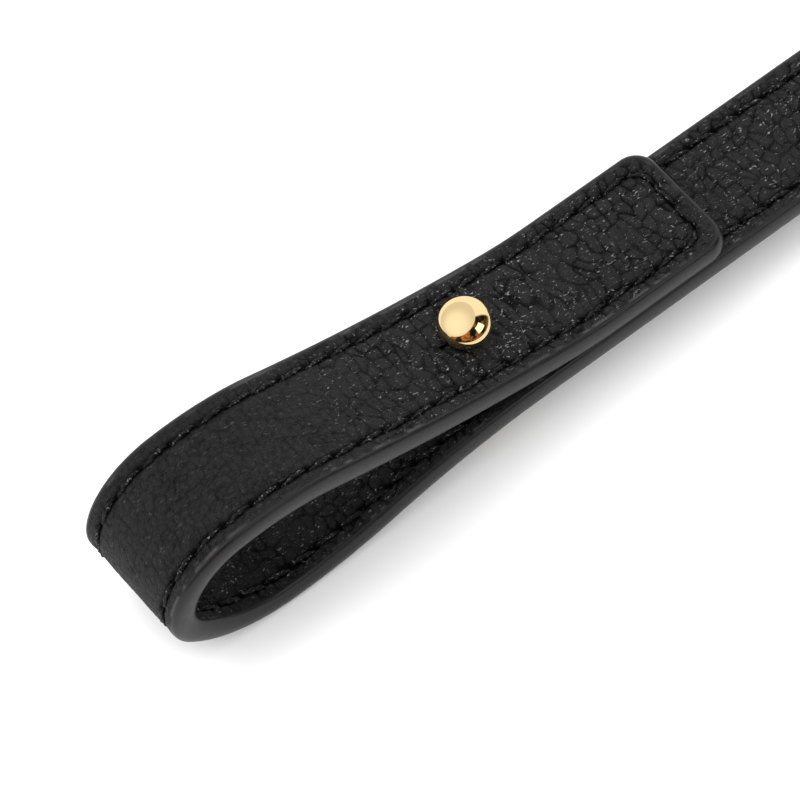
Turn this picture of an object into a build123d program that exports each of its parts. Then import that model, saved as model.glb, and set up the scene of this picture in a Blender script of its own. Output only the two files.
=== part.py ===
"""Riding crop with a buttoned hanging strap at its butt.

The crop lies along X on the surface Z = 0: the strap's loop at -X, the leather tongue at +X.
The handle's axis is level, at the height where the grip's leather rests on the surface.
"""

import math
import os

from build123d import *

os.makedirs("parts", exist_ok=True)

# ------------------------------------------------------------------ driving dimensions, mm
overall_length = 614.0  # outside of the loop to the tip of the tongue

strap_width = 20.0
strap_thickness = 4.0
ply_thickness = 1.1  # outer and lining leather; the core fills the rest
edge_paint = 0.4
tab_corner = 3.5

stitch_inset = 3.0
stitch_pitch = 4.5
stitch_gap = 0.9
stitch_width = 0.7
stitch_depth = 0.4

# The strap's middle line as (length, turn in degrees) steps, from the handle to the tab's end.
# It starts out towards -X. A positive turn is to the left, which is downwards there.
strap_dip = [(28.1, 15.8), (17.2, -15.8)]
strap_bend = [(18.2, -49.1), (6.8, -46.7), (14.4, -76.4), (16.6, -27.0)]
tab_rise = [(40.8, 9.0), (10.0, 10.2)]
tab_flat = 20.4

stud_from_tab_end = 39.7
ball_radius = 3.65
ball_height = 14.25  # centre of the ball above the straight strap's underside
neck_radius = 1.9
flange_radius, flange_thickness = 3.8, 1.0
screw_radius, screw_grip = 1.25, 3.6
screw_head_radius, screw_head_thickness = 4.0, 1.3
screw_slot_width, screw_slot_depth = 0.8, 0.6
tab_hole_radius, tab_dimple_radius = 2.3, 3.1
tab_slit_width, tab_slit_reach = 0.5, 4.6

ring_from_tab_end = 54.0
ring_wire_radius = 1.4
ring_half_bar = 10.4
ring_corner = 2.6
ring_clearance = 0.05
strap_cut_back = 4.6  # square end of the strap before the ring's bar
return_leg = 17.0
rivet_from_ring = 11.0
rivet_y = 5.0
rivet_radius, rivet_clearance = 1.3, 0.05
rivet_cap_radius, rivet_cap_thickness = 3.0, 1.1

eye_radius, eye_hole_radius, eye_thickness = 3.6, 1.8, 3.0
eye_to_cap = 5.0
cap_length, cap_dome = 17.0, 4.0
cap_groove_width, cap_groove_depth = 1.2, 0.5
cap_stud_radius, cap_stud_length = 2.5, 24.0
washer_length = 1.5

grip_length = 150.0
grip_leather_thickness = 1.4
grip_edge_round = 0.6
seam_pitch = 5.0
seam_stitch = (0.9, 3.2, 0.45)
ferrule_length, ferrule_skirt, ferrule_lip = 16.0, 5.0, 0.9

rod_butt_radius, rod_tip_radius = 3.0, 1.7
rod_start = 20.0  # ahead of the grip's rear end
braid_thickness = 0.8
braid_in_collar = 4.0
tip_collar_length, tip_collar_radius = 7.0, 3.6

tongue_length, tongue_width = 62.0, 28.0
tongue_root_width, tongue_flare = 12.0, 16.0
tongue_leather_thickness = 1.6
stiffener_thickness, stiffener_inset = 1.0, 4.5
neck_length, neck_width, neck_height, neck_corner = 20.0, 10.0, 6.8, 2.0
whipping_length, whipping_thickness = 11.0, 0.8

# ------------------------------------------------------------------ routes in the XZ plane
strap_half = strap_thickness / 2
core_half = strap_half - ply_thickness
width_half = strap_width / 2
ply_half_width = width_half - edge_paint
row_y = width_half - stitch_inset
WEST, EAST = 180.0, 0.0


def along(heading):
    return Vector(math.cos(math.radians(heading)), math.sin(math.radians(heading)))


def left_of(heading):
    return along(heading + 90.0)


def step_end(point, heading, length, turn):
    """Where a straight or circular step ends, and its heading there."""
    if turn == 0:
        return point + along(heading) * length, heading
    radius = length / math.radians(turn)
    centre = point + left_of(heading) * radius
    return centre - left_of(heading + turn) * radius, heading + turn


def route_end(point, heading, steps):
    for length, turn in steps:
        point, heading = step_end(point, heading, length, turn)
    return point, heading


def stations(point, heading, steps, spacing, first=0.0):
    """Points and headings every `spacing` along a route, the first one at `first`."""
    found, ahead = [], first
    for length, turn in steps:
        while ahead <= length:
            found.append(step_end(point, heading, ahead, turn * ahead / length))
            ahead += spacing
        point, heading = step_end(point, heading, length, turn)
        ahead -= length
    return found


def draw_route(point, heading, steps, shift):
    """Draws a route's lines and tangent arcs moved `shift` to its left, and returns its ends."""
    start = end = point + left_of(heading) * shift
    for length, turn in steps:
        if turn == 0:
            end = PolarLine(end, length, direction=along(heading)) @ 1
        else:
            radius = abs(length / math.radians(turn) - shift)
            end = JernArc(end, along(heading), radius, turn) @ 1
        heading += turn
    return start, end


def layer(route, low, high, y=0.0, half=ply_half_width, mode=Mode.ADD):
    """A layer of leather between two shifts from a route, reaching `half` each side of y."""
    with BuildSketch(Plane.XZ.offset(-y)) as outline:
        with BuildLine():
            low_start, low_end = draw_route(*route, low)
            high_start, high_end = draw_route(*route, high)
            Line(low_start, high_start)
            Line(low_end, high_end)
        make_face()
    extrude(outline.sketch, amount=half, both=True, mode=mode)


def stitch_bands(route, surface, mode):
    """The two bands that the strap's stitches fill, sunk into the face at shift `surface`."""
    bottom = surface - math.copysign(stitch_depth, surface)
    for y in (-row_y, row_y):
        layer(route, bottom, surface, y=y, half=stitch_width / 2, mode=mode)


def cut_stitch_gaps(route, first):
    """Cuts the bands on both faces into separate stitches."""
    for point, heading in stations(*route, stitch_pitch, first):
        with Locations(Location((point.X, 0, point.Y), (0, -heading, 0))):
            Box(stitch_gap, strap_width, 2 * strap_thickness, mode=Mode.SUBTRACT)


# The route is first laid from the origin, to find how far the loop reaches and hangs down.
trial = [point for point, _ in stations(Vector(0, strap_half), WEST, strap_dip + strap_bend, 0.02)]
strap_height = strap_half - min(point.Y for point in trial)
loop_reach = strap_half - min(point.X for point in trial)

dip_start = Vector(loop_reach - overall_length / 2, strap_height + strap_half)
bend_start, _ = route_end(dip_start, WEST, strap_dip)
tab_start, tab_heading = route_end(bend_start, WEST, strap_bend)
flat_start, _ = route_end(tab_start, tab_heading, tab_rise)
tab_end_x = flat_start.X + tab_flat
stud_x = tab_end_x - stud_from_tab_end
ring_x = tab_end_x + ring_from_tab_end

bar_hole_radius = ring_wire_radius + ring_clearance
axis_height = strap_height + bar_hole_radius  # of the ring's bar and of the crop
crop_axis = Axis((0, 0, axis_height), (1, 0, 0))

root_x = ring_x - strap_cut_back
strap_steps = [(root_x - dip_start.X, 0.0)] + strap_dip
strap_route = (Vector(root_x, dip_start.Y), WEST, strap_steps)
bend_route = (bend_start, WEST, strap_bend)
tab_route = (tab_start, tab_heading, tab_rise + [(tab_flat, 0.0)])

strap_length = sum(length for length, _ in strap_steps)
bend_length = sum(length for length, _ in strap_bend)
bend_first_gap = stitch_pitch - strap_length % stitch_pitch
tab_first_gap = stitch_pitch - (strap_length + bend_length) % stitch_pitch

# The lining leather turns round the ring's bar and comes back under the strap.
turn_radius = bar_hole_radius + ply_thickness / 2
leg_start = Vector(ring_x - return_leg, strap_height - ply_thickness / 2)
lining_turn = [(return_leg, 0.0), (math.pi * turn_radius, 180.0), (strap_cut_back, 0.0)]
lining_shift = -(core_half + strap_half) / 2
lining_run = [(length - lining_shift * math.radians(turn), turn) for length, turn in strap_steps]
lining_route = (leg_start, EAST, lining_turn + lining_run)
rivet_x = ring_x - rivet_from_ring
rivet_low = strap_height - ply_thickness
rivet_high = strap_height + strap_thickness

stud_drop = dip_start.Y - min(
    stations(dip_start, WEST, strap_dip, 0.02), key=lambda s: abs(s[0].X - stud_x)
)[0].Y
stud_seat = strap_height - stud_drop  # underside of the strap at the stud
stud_top_face = stud_seat + strap_thickness

# ------------------------------------------------------------------ strap, straight run and dip
rivet_hole = rivet_radius + rivet_clearance


def cut_strap_holes():
    """Holes for the two rivets and the stud's screw, through whichever ply is being built."""
    with Locations((rivet_x, -rivet_y, rivet_high + 1), (rivet_x, rivet_y, rivet_high + 1)):
        Hole(rivet_hole, depth=4 * strap_thickness)
    with Locations((stud_x, 0, rivet_high + 1)):
        Hole(screw_radius + rivet_clearance, depth=4 * strap_thickness)


with BuildPart() as strap_outer_ply:
    layer(strap_route, core_half, strap_half)
    stitch_bands(strap_route, strap_half, Mode.SUBTRACT)
    cut_strap_holes()

with BuildPart() as strap_core:
    layer(strap_route, -core_half, core_half)
    cut_strap_holes()

with BuildPart() as strap_lining_ply:
    layer(lining_route, -ply_thickness / 2, ply_thickness / 2)
    stitch_bands(strap_route, -strap_half, Mode.SUBTRACT)
    cut_strap_holes()

with BuildPart() as strap_edge_paint:
    for side in (-1, 1):
        middle = side * (width_half - edge_paint / 2)
        layer(strap_route, -strap_half, strap_half, y=middle, half=edge_paint / 2)

with BuildPart() as strap_stitching:
    stitch_bands(strap_route, strap_half, Mode.ADD)
    stitch_bands(strap_route, -strap_half, Mode.ADD)
    cut_stitch_gaps(strap_route, 0.0)

# ------------------------------------------------------------------ strap, round the loop
with BuildPart() as loop_outer_ply:
    layer(bend_route, core_half, strap_half)
    stitch_bands(bend_route, strap_half, Mode.SUBTRACT)

with BuildPart() as loop_core:
    layer(bend_route, -core_half, core_half)

with BuildPart() as loop_lining_ply:
    layer(bend_route, -strap_half, -core_half)
    stitch_bands(bend_route, -strap_half, Mode.SUBTRACT)

with BuildPart() as loop_edge_paint:
    for side in (-1, 1):
        middle = side * (width_half - edge_paint / 2)
        layer(bend_route, -strap_half, strap_half, y=middle, half=edge_paint / 2)

with BuildPart() as loop_stitching:
    stitch_bands(bend_route, strap_half, Mode.ADD)
    stitch_bands(bend_route, -strap_half, Mode.ADD)
    cut_stitch_gaps(bend_route, bend_first_gap)

# ------------------------------------------------------------------ tab over the strap
tab_rows = (tab_start, tab_heading, tab_rise + [(tab_flat - stitch_inset, 0.0)])
end_row_x = tab_end_x - stitch_inset
row_middle = strap_half - stitch_depth / 2
end_row_heights = [flat_start.Y - row_middle, flat_start.Y + row_middle]


def tab_outline(inset, mode):
    """Trims or hollows the piece being built by the tab's plan, `inset` inside its edge."""
    with BuildSketch(Plane.XY) as plan:
        with Locations((tab_end_x - inset, 0)):
            Rectangle(overall_length, 2 * (width_half - inset), align=(Align.MAX, Align.CENTER))
        fillet(plan.vertices().sort_by(Axis.X)[-2:], radius=tab_corner - inset)
    extrude(plan.sketch, amount=overall_length / 4, mode=mode)


def end_row(height, mode):
    """The stitch row across the tab's end, sunk into one of its faces."""
    with Locations((end_row_x, 0, height)):
        Box(stitch_width, 2 * row_y + stitch_width, stitch_depth, mode=mode)


def cut_buttonhole(radius):
    """The round hole over the stud's neck, with a short slit towards the loop."""
    with BuildSketch(Plane.XY) as keyhole:
        with Locations((stud_x, 0)):
            Circle(radius)
        with Locations((stud_x - tab_slit_reach / 2, 0)):
            Rectangle(tab_slit_reach, tab_slit_width)
    extrude(keyhole.sketch, amount=overall_length / 4, mode=Mode.SUBTRACT)


with BuildPart() as tab_outer_ply:
    layer(tab_route, core_half, strap_half)
    tab_outline(edge_paint, Mode.INTERSECT)
    stitch_bands(tab_rows, strap_half, Mode.SUBTRACT)
    end_row(end_row_heights[1], Mode.SUBTRACT)
    cut_buttonhole(tab_dimple_radius)

with BuildPart() as tab_core:
    layer(tab_route, -core_half, core_half)
    tab_outline(edge_paint, Mode.INTERSECT)
    cut_buttonhole(tab_hole_radius)

with BuildPart() as tab_lining_ply:
    layer(tab_route, -strap_half, -core_half)
    tab_outline(edge_paint, Mode.INTERSECT)
    stitch_bands(tab_rows, -strap_half, Mode.SUBTRACT)
    end_row(end_row_heights[0], Mode.SUBTRACT)
    cut_buttonhole(tab_hole_radius)

with BuildPart() as tab_edge_paint:
    layer(tab_route, -strap_half, strap_half, half=width_half)
    tab_outline(0.0, Mode.INTERSECT)
    tab_outline(edge_paint, Mode.SUBTRACT)

with BuildPart() as tab_stitching:
    stitch_bands(tab_rows, strap_half, Mode.ADD)
    stitch_bands(tab_rows, -strap_half, Mode.ADD)
    cut_stitch_gaps(tab_rows, tab_first_gap)
    for row_height in end_row_heights:
        end_row(row_height, Mode.ADD)
        with Locations((end_row_x, 0, row_height)):
            with GridLocations(0, 2 * row_y / 3, 1, 4):
                Box(strap_thickness, stitch_gap, stitch_depth, mode=Mode.SUBTRACT)

# ------------------------------------------------------------------ stud
ball_z = strap_height + ball_height
neck_foot = stud_top_face + flange_thickness
bore_depth = flange_thickness + screw_grip

with BuildPart() as stud_ball:
    with Locations((stud_x, 0, ball_z)):
        Sphere(ball_radius)
    with Locations((stud_x, 0, neck_foot)):
        Cylinder(neck_radius, ball_z - neck_foot, align=(Align.CENTER, Align.CENTER, Align.MIN))
    with Locations((stud_x, 0, stud_top_face)):
        Cylinder(flange_radius, flange_thickness, align=(Align.CENTER, Align.CENTER, Align.MIN))
        Cylinder(
            screw_radius,
            bore_depth,
            align=(Align.CENTER, Align.CENTER, Align.MIN),
            mode=Mode.SUBTRACT,
        )

with BuildPart() as stud_screw:
    with Locations((stud_x, 0, stud_seat)):
        Cylinder(screw_head_radius, screw_head_thickness, align=(Align.CENTER, Align.CENTER, Align.MAX))
        Cylinder(
            screw_radius,
            strap_thickness + bore_depth,
            align=(Align.CENTER, Align.CENTER, Align.MIN),
        )
    with Locations((stud_x, 0, stud_seat - screw_head_thickness)):
        Box(
            screw_slot_width,
            2 * screw_head_radius,
            screw_slot_depth,
            align=(Align.CENTER, Align.CENTER, Align.MIN),
            mode=Mode.SUBTRACT,
        )

# ------------------------------------------------------------------ rivets and D-ring
with BuildPart() as root_rivets:
    for y in (-rivet_y, rivet_y):
        with Locations((rivet_x, y, (rivet_low + rivet_high) / 2)):
            Cylinder(rivet_radius, rivet_high - rivet_low)
        with Locations((rivet_x, y, rivet_high)):
            Cylinder(rivet_cap_radius, rivet_cap_thickness, align=(Align.CENTER, Align.CENTER, Align.MIN))
        with Locations((rivet_x, y, rivet_low)):
            Cylinder(rivet_cap_radius, rivet_cap_thickness, align=(Align.CENTER, Align.CENTER, Align.MAX))
    outer_rims = root_rivets.edges().filter_by(GeomType.CIRCLE).group_by(Axis.Z)
    fillet(outer_rims[0] + outer_rims[-1], radius=0.6 * rivet_cap_thickness)

with BuildPart() as d_ring:
    with BuildLine(Plane.XY.offset(axis_height)) as ring_path:
        bar = Line((ring_x, -ring_half_bar), (ring_x, ring_half_bar))
        far_corner = JernArc(bar @ 1, bar % 1, ring_corner, -90)
        bow = JernArc(far_corner @ 1, far_corner % 1, ring_half_bar + ring_corner, -180)
        JernArc(bow @ 1, bow % 1, ring_corner, -90)
    with BuildSketch(Plane(origin=bar @ 0, z_dir=(0, 1, 0))):
        Circle(ring_wire_radius)
    sweep(path=ring_path.wire())

# ------------------------------------------------------------------ handle
eye_x = ring_x + ring_half_bar + 2 * ring_corner
cap_rear = eye_x + eye_to_cap
cap_front = cap_rear + cap_length
grip_rear = cap_front + washer_length
grip_front = grip_rear + grip_length
core_radius = axis_height - grip_leather_thickness
stud_reach = cap_stud_length / 2


def turned(*outline):
    """A solid turned about the crop's axis from (x, radius) points."""
    with BuildSketch(Plane.XZ) as half_section:
        with BuildLine():
            Polyline(*[(x, axis_height + radius) for x, radius in outline], close=True)
        make_face()
    revolve(half_section.sketch, axis=crop_axis)


def bore(x, radius, depth):
    """A hole along the crop's axis, from x towards +X."""
    with Locations(Location((x + depth / 2, 0, axis_height), (0, 90, 0))):
        Cylinder(radius, depth, mode=Mode.SUBTRACT)


with BuildPart() as butt_cap:
    with BuildSketch(Plane.XZ):
        with BuildLine():
            Line((cap_rear, axis_height), (cap_front, axis_height))
            Line((cap_front, axis_height), (cap_front, 2 * axis_height))
            Line((cap_front, 2 * axis_height), (cap_rear + cap_dome, 2 * axis_height))
            TangentArc(
                (cap_rear + cap_dome, 2 * axis_height), (cap_rear, axis_height), tangent=(-1, 0)
            )
        make_face()
    revolve(axis=crop_axis)
    with BuildSketch(Plane.XZ):
        with Locations((eye_x, axis_height)):
            Circle(eye_radius)
            Rectangle(2 * eye_to_cap, 2 * eye_radius, align=(Align.MIN, Align.CENTER))
    extrude(amount=eye_thickness / 2, both=True)
    with BuildSketch(Plane.XZ):
        with Locations((eye_x, axis_height)):
            Circle(eye_hole_radius)
    extrude(amount=eye_thickness, both=True, mode=Mode.SUBTRACT)
    bore(cap_front - stud_reach, cap_stud_radius, stud_reach)
    for groove_x in (cap_front - 2 * cap_groove_width, cap_front - 4 * cap_groove_width):
        with BuildSketch(Plane.XZ):
            with Locations((groove_x, 2 * axis_height)):
                Rectangle(cap_groove_width, 2 * cap_groove_depth)
        revolve(axis=crop_axis, mode=Mode.SUBTRACT)

with BuildPart() as cap_stud:
    turned(
        (cap_front - stud_reach, 0),
        (cap_front - stud_reach, cap_stud_radius),
        (cap_front + stud_reach, cap_stud_radius),
        (cap_front + stud_reach, 0),
    )

with BuildPart() as cap_washer:
    turned(
        (cap_front, cap_stud_radius),
        (cap_front, core_radius),
        (grip_rear, core_radius),
        (grip_rear, cap_stud_radius),
    )

with BuildPart() as grip_core:
    turned((grip_rear, 0), (grip_rear, core_radius), (grip_front, core_radius), (grip_front, 0))
    bore(grip_rear, cap_stud_radius, cap_front + stud_reach - grip_rear)
    bore(grip_rear + rod_start, rod_butt_radius, grip_length - rod_start)

with BuildPart() as grip_leather:
    turned(
        (grip_rear, core_radius),
        (grip_rear, axis_height - grip_edge_round),
        (grip_rear + grip_edge_round, axis_height),
        (grip_front - grip_edge_round, axis_height),
        (grip_front, axis_height - grip_edge_round),
        (grip_front, core_radius),
    )

with BuildPart() as grip_stitching:
    seam_count = int(grip_length / seam_pitch)
    with Locations((grip_rear + grip_length / 2, 0, 2 * axis_height - seam_stitch[2] / 2)):
        with GridLocations(seam_pitch, 0, seam_count, 1):
            Box(*seam_stitch)

# ------------------------------------------------------------------ shaft
shaft_start = grip_front + ferrule_length
tongue_tip = overall_length / 2
hinge_x = tongue_tip - tongue_length
neck_x = hinge_x - neck_length
collar_x = neck_x - tip_collar_length
rod_end = neck_x + whipping_length
braid_end = collar_x + braid_in_collar
braid_butt_radius = rod_butt_radius + braid_thickness
braid_tip_radius = rod_tip_radius + braid_thickness

with BuildPart() as grip_ferrule:
    turned(
        (grip_front, braid_butt_radius),
        (grip_front, axis_height),
        (grip_front + ferrule_skirt, axis_height),
        (shaft_start, braid_butt_radius + ferrule_lip),
        (shaft_start, braid_butt_radius),
    )

with BuildPart() as shaft_rod:
    turned(
        (grip_rear + rod_start, 0),
        (grip_rear + rod_start, rod_butt_radius),
        (shaft_start, rod_butt_radius),
        (collar_x, rod_tip_radius),
        (rod_end, rod_tip_radius),
        (rod_end, 0),
    )

with BuildPart() as shaft_braid:
    turned(
        (grip_front, rod_butt_radius),
        (grip_front, braid_butt_radius),
        (shaft_start, braid_butt_radius),
        (collar_x, braid_tip_radius),
        (braid_end, braid_tip_radius),
        (braid_end, rod_tip_radius),
        (collar_x, rod_tip_radius),
        (shaft_start, rod_butt_radius),
    )

with BuildPart() as tip_collar:
    turned(
        (collar_x, braid_tip_radius),
        (collar_x, tip_collar_radius),
        (neck_x, tip_collar_radius),
        (neck_x, rod_tip_radius),
        (braid_end, rod_tip_radius),
        (braid_end, braid_tip_radius),
    )

# ------------------------------------------------------------------ tongue
layer_shift = (tongue_leather_thickness + stiffener_thickness) / 2
tongue_half = layer_shift + tongue_leather_thickness / 2


def neck_section(x, width, height, corner):
    with BuildSketch(Plane.YZ.offset(x)) as section:
        with Locations((0, axis_height)):
            RectangleRounded(width, height, corner)
    return section.sketch


with BuildPart() as tongue_neck:
    extrude(neck_section(neck_x, neck_width, neck_height, neck_corner), amount=whipping_length)
    loft(
        [
            neck_section(rod_end, neck_width, neck_height, neck_corner),
            neck_section(hinge_x, tongue_root_width, 2 * tongue_half, 0.45 * tongue_half),
        ]
    )
    bore(neck_x, rod_tip_radius, rod_end - neck_x)

with BuildPart() as tip_whipping:
    with BuildSketch(Plane.YZ.offset(neck_x)):
        with Locations((0, axis_height)):
            RectangleRounded(
                neck_width + 2 * whipping_thickness,
                neck_height + 2 * whipping_thickness,
                neck_corner + whipping_thickness,
            )
            RectangleRounded(neck_width, neck_height, neck_corner, mode=Mode.SUBTRACT)
    extrude(amount=whipping_length)

tongue_straight = tongue_length - tongue_half
tongue_steps = [(tongue_straight, 0.0), (math.pi * layer_shift, -180.0), (tongue_straight, 0.0)]
tongue_route = (Vector(hinge_x, axis_height + layer_shift), EAST, tongue_steps)
tongue_row_y = tongue_width / 2 - stitch_inset
tongue_rows_start = hinge_x + tongue_flare + stitch_inset
tongue_row_length = tongue_tip - tongue_half - stitch_inset - tongue_rows_start
tongue_rows_middle = tongue_rows_start + tongue_row_length / 2
tongue_row_heights = [
    axis_height - tongue_half + stitch_depth / 2,
    axis_height + tongue_half - stitch_depth / 2,
]


def tongue_rows(mode):
    for height in tongue_row_heights:
        with Locations((tongue_rows_middle, 0, height)):
            with GridLocations(0, 2 * tongue_row_y, 1, 2):
                Box(tongue_row_length, stitch_width, stitch_depth, mode=mode)


with BuildPart() as tongue_leather:
    leather_half = tongue_leather_thickness / 2
    layer(tongue_route, -leather_half, leather_half, half=tongue_width / 2)
    with BuildSketch(Plane.XY) as tongue_plan:
        with BuildLine():
            Polyline(
                (hinge_x, -tongue_root_width / 2),
                (hinge_x + tongue_flare, -tongue_width / 2),
                (tongue_tip, -tongue_width / 2),
                (tongue_tip, tongue_width / 2),
                (hinge_x + tongue_flare, tongue_width / 2),
                (hinge_x, tongue_root_width / 2),
                close=True,
            )
        make_face()
        fillet(tongue_plan.vertices().group_by(Axis.X)[1], radius=tongue_flare / 2)
    extrude(amount=2 * axis_height, mode=Mode.INTERSECT)
    tongue_rows(Mode.SUBTRACT)

with BuildPart() as tongue_stiffener_board:
    with Locations((hinge_x + tongue_flare, 0, axis_height)):
        Box(
            tongue_straight - tongue_flare - stiffener_inset,
            tongue_width - 2 * stiffener_inset,
            stiffener_thickness,
            align=(Align.MIN, Align.CENTER, Align.CENTER),
        )

with BuildPart() as tongue_stitching:
    tongue_rows(Mode.ADD)
    gap_count = int(tongue_row_length / stitch_pitch)
    with Locations((tongue_rows_middle, 0, axis_height)):
        with GridLocations(stitch_pitch, 0, gap_count, 1):
            Box(stitch_gap, tongue_width, 3 * tongue_half, mode=Mode.SUBTRACT)

# ------------------------------------------------------------------ one file for each piece
pieces = {
    "strap_outer_ply": strap_outer_ply,
    "strap_core": strap_core,
    "strap_lining_ply": strap_lining_ply,
    "strap_edge_paint": strap_edge_paint,
    "strap_stitching": strap_stitching,
    "loop_outer_ply": loop_outer_ply,
    "loop_core": loop_core,
    "loop_lining_ply": loop_lining_ply,
    "loop_edge_paint": loop_edge_paint,
    "loop_stitching": loop_stitching,
    "tab_outer_ply": tab_outer_ply,
    "tab_core": tab_core,
    "tab_lining_ply": tab_lining_ply,
    "tab_edge_paint": tab_edge_paint,
    "tab_stitching": tab_stitching,
    "stud_ball": stud_ball,
    "stud_screw": stud_screw,
    "root_rivets": root_rivets,
    "d_ring": d_ring,
    "butt_cap": butt_cap,
    "cap_stud": cap_stud,
    "cap_washer": cap_washer,
    "grip_core": grip_core,
    "grip_leather": grip_leather,
    "grip_stitching": grip_stitching,
    "grip_ferrule": grip_ferrule,
    "shaft_rod": shaft_rod,
    "shaft_braid": shaft_braid,
    "tip_collar": tip_collar,
    "tongue_neck": tongue_neck,
    "tip_whipping": tip_whipping,
    "tongue_leather": tongue_leather,
    "tongue_stiffener_board": tongue_stiffener_board,
    "tongue_stitching": tongue_stitching,
}
for name, piece in pieces.items():
    piece.part.label = name
    export_step(piece.part, f"parts/{name}.step")

summary = {
    "strap underside": strap_height,
    "crop axis height": axis_height,
    "tab end x": tab_end_x,
    "tab gap": flat_start.Y - dip_start.Y - strap_thickness,
    "stud x": stud_x,
    "dip start x": dip_start.X,
    "loop bottom x": bend_start.X,
    "ring bar x": ring_x,
    "ring eye x": eye_x,
    "cap rear x": cap_rear,
    "grip rear x": grip_rear,
    "grip front x": grip_front,
    "shaft start x": shaft_start,
    "tip collar x": collar_x,
    "tongue hinge x": hinge_x,
}
for name, value in summary.items():
    print(f"{name}: {value:.3f}")
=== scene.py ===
"""Looks of the riding crop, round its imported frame: strap and stud, handle, shaft and tongue."""

import math

import bmesh
import bpy
import numpy as np
from mathutils import Matrix, Vector


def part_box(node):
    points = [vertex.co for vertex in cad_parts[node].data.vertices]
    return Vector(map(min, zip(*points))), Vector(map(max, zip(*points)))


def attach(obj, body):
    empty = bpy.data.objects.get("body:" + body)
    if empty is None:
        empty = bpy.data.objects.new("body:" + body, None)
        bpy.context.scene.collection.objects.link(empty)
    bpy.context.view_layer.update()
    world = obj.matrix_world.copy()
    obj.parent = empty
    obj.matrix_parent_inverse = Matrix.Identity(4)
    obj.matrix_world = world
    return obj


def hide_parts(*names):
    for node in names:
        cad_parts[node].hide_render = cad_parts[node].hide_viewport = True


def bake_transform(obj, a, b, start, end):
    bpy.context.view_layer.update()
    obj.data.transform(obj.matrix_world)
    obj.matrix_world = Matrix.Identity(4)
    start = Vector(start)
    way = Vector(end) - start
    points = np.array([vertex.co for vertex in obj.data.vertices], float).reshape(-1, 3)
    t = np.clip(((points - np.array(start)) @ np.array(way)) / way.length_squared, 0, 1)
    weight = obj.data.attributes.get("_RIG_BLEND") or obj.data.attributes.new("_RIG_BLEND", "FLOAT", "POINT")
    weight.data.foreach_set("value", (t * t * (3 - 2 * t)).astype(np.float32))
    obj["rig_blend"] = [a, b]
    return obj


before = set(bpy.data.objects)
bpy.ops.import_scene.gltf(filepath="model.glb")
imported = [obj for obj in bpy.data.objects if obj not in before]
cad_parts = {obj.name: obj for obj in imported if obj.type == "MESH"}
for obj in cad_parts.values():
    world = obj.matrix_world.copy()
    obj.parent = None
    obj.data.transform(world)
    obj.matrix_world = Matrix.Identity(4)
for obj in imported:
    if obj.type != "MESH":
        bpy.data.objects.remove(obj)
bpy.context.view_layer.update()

MM = 0.001


def box_mm(node):
    """A CAD node's lowest and highest corners, in millimetres."""
    low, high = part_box(node)
    return np.array(low) / MM, np.array(high) / MM


# ---- sizes, mm
# The strap's middle line as (length, turn in degrees) steps, as in the CAD model. It starts
# at the ring, towards -X, and a positive turn is downwards there.
STRAP_DIP = [(28.1, 15.8), (17.2, -15.8)]
STRAP_BEND = [(18.2, -49.1), (6.8, -46.7), (14.4, -76.4), (16.6, -27.0)]
TAB_RISE = [(40.8, 9.0), (10.0, 10.2)]
TAB_FLAT = 20.4
STRAP_HALF = 2.0
PLY = 1.1

EDGE_REACH = 0.95  # how far the rounded, painted edge reaches in from the side
TAB_CORNER = 3.5
STITCH_INSET = 3.0
STITCH_PITCH = 4.5
GRAIN_STEP = 0.25  # spacing of the leather's mesh

# ---- noise in numpy
def hashed(i, j, k, seed):
    """A repeatable number from 0 to 1 for each whole-numbered cell."""
    value = (i * 374761393 + j * 668265263 + k * 2147483647 + seed * 1274126177) & 0xFFFFFFFF
    value = ((value ^ (value >> 13)) * 1274126177) & 0xFFFFFFFF
    value = ((value ^ (value >> 16)) * 2246822519) & 0xFFFFFFFF
    return (value ^ (value >> 15)) / 0xFFFFFFFF


def smooth_noise(u, v, seed):
    """Value noise from -1 to 1 with cells one unit wide."""
    i, j = np.floor(u).astype(np.int64), np.floor(v).astype(np.int64)
    s, t = u - i, v - j
    s, t = eased(s), eased(t)
    low = hashed(i, j, 0, seed) * (1 - s) + hashed(i + 1, j, 0, seed) * s
    high = hashed(i, j + 1, 0, seed) * (1 - s) + hashed(i + 1, j + 1, 0, seed) * s
    return (low * (1 - t) + high * t) * 2 - 1


def cell_edges(u, v, seed):
    """How far each point is from the nearest border between scattered cells about one unit wide."""
    i, j = np.floor(u).astype(np.int64), np.floor(v).astype(np.int64)
    nearest = np.full(u.shape, 9.0)
    second = np.full(u.shape, 9.0)
    for di in (-1, 0, 1):
        for dj in (-1, 0, 1):
            x = i + di + 0.15 + 0.7 * hashed(i + di, j + dj, 1, seed)
            y = j + dj + 0.15 + 0.7 * hashed(i + di, j + dj, 2, seed)
            distance = np.hypot(u - x, v - y)
            second = np.minimum(second, np.maximum(nearest, distance))
            nearest = np.minimum(nearest, distance)
    return second - nearest


def bump(x, width):
    return np.exp(-((x / width) ** 2))


def eased(t):
    return t * t * (3 - 2 * t)


def unit(vectors):
    return vectors / np.linalg.norm(vectors, axis=-1, keepdims=True)


def circle(count):
    """Evenly spaced angles once round."""
    return np.linspace(0, 2 * math.pi, count, endpoint=False)


# ---- routes in the XZ plane
def trace(x, z, heading, steps, spacing):
    """Points along a route: x, z, heading in radians and distance, about `spacing` apart."""
    angle = math.radians(heading)
    found = [(x, z, angle, 0.0)]
    done = 0.0
    for length, degrees in steps:
        count = max(1, round(length / spacing))
        for part in np.arange(1, count + 1) / count:
            turn = math.radians(degrees) * part
            along = length * part
            chord = 2 * along / turn * math.sin(turn / 2) if turn else along
            middle = angle + turn / 2
            place = (x + chord * math.cos(middle), z + chord * math.sin(middle))
            found.append((*place, angle + turn, done + along))
        x, z, angle, done = found[-1]
    return np.array(found).T


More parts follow.
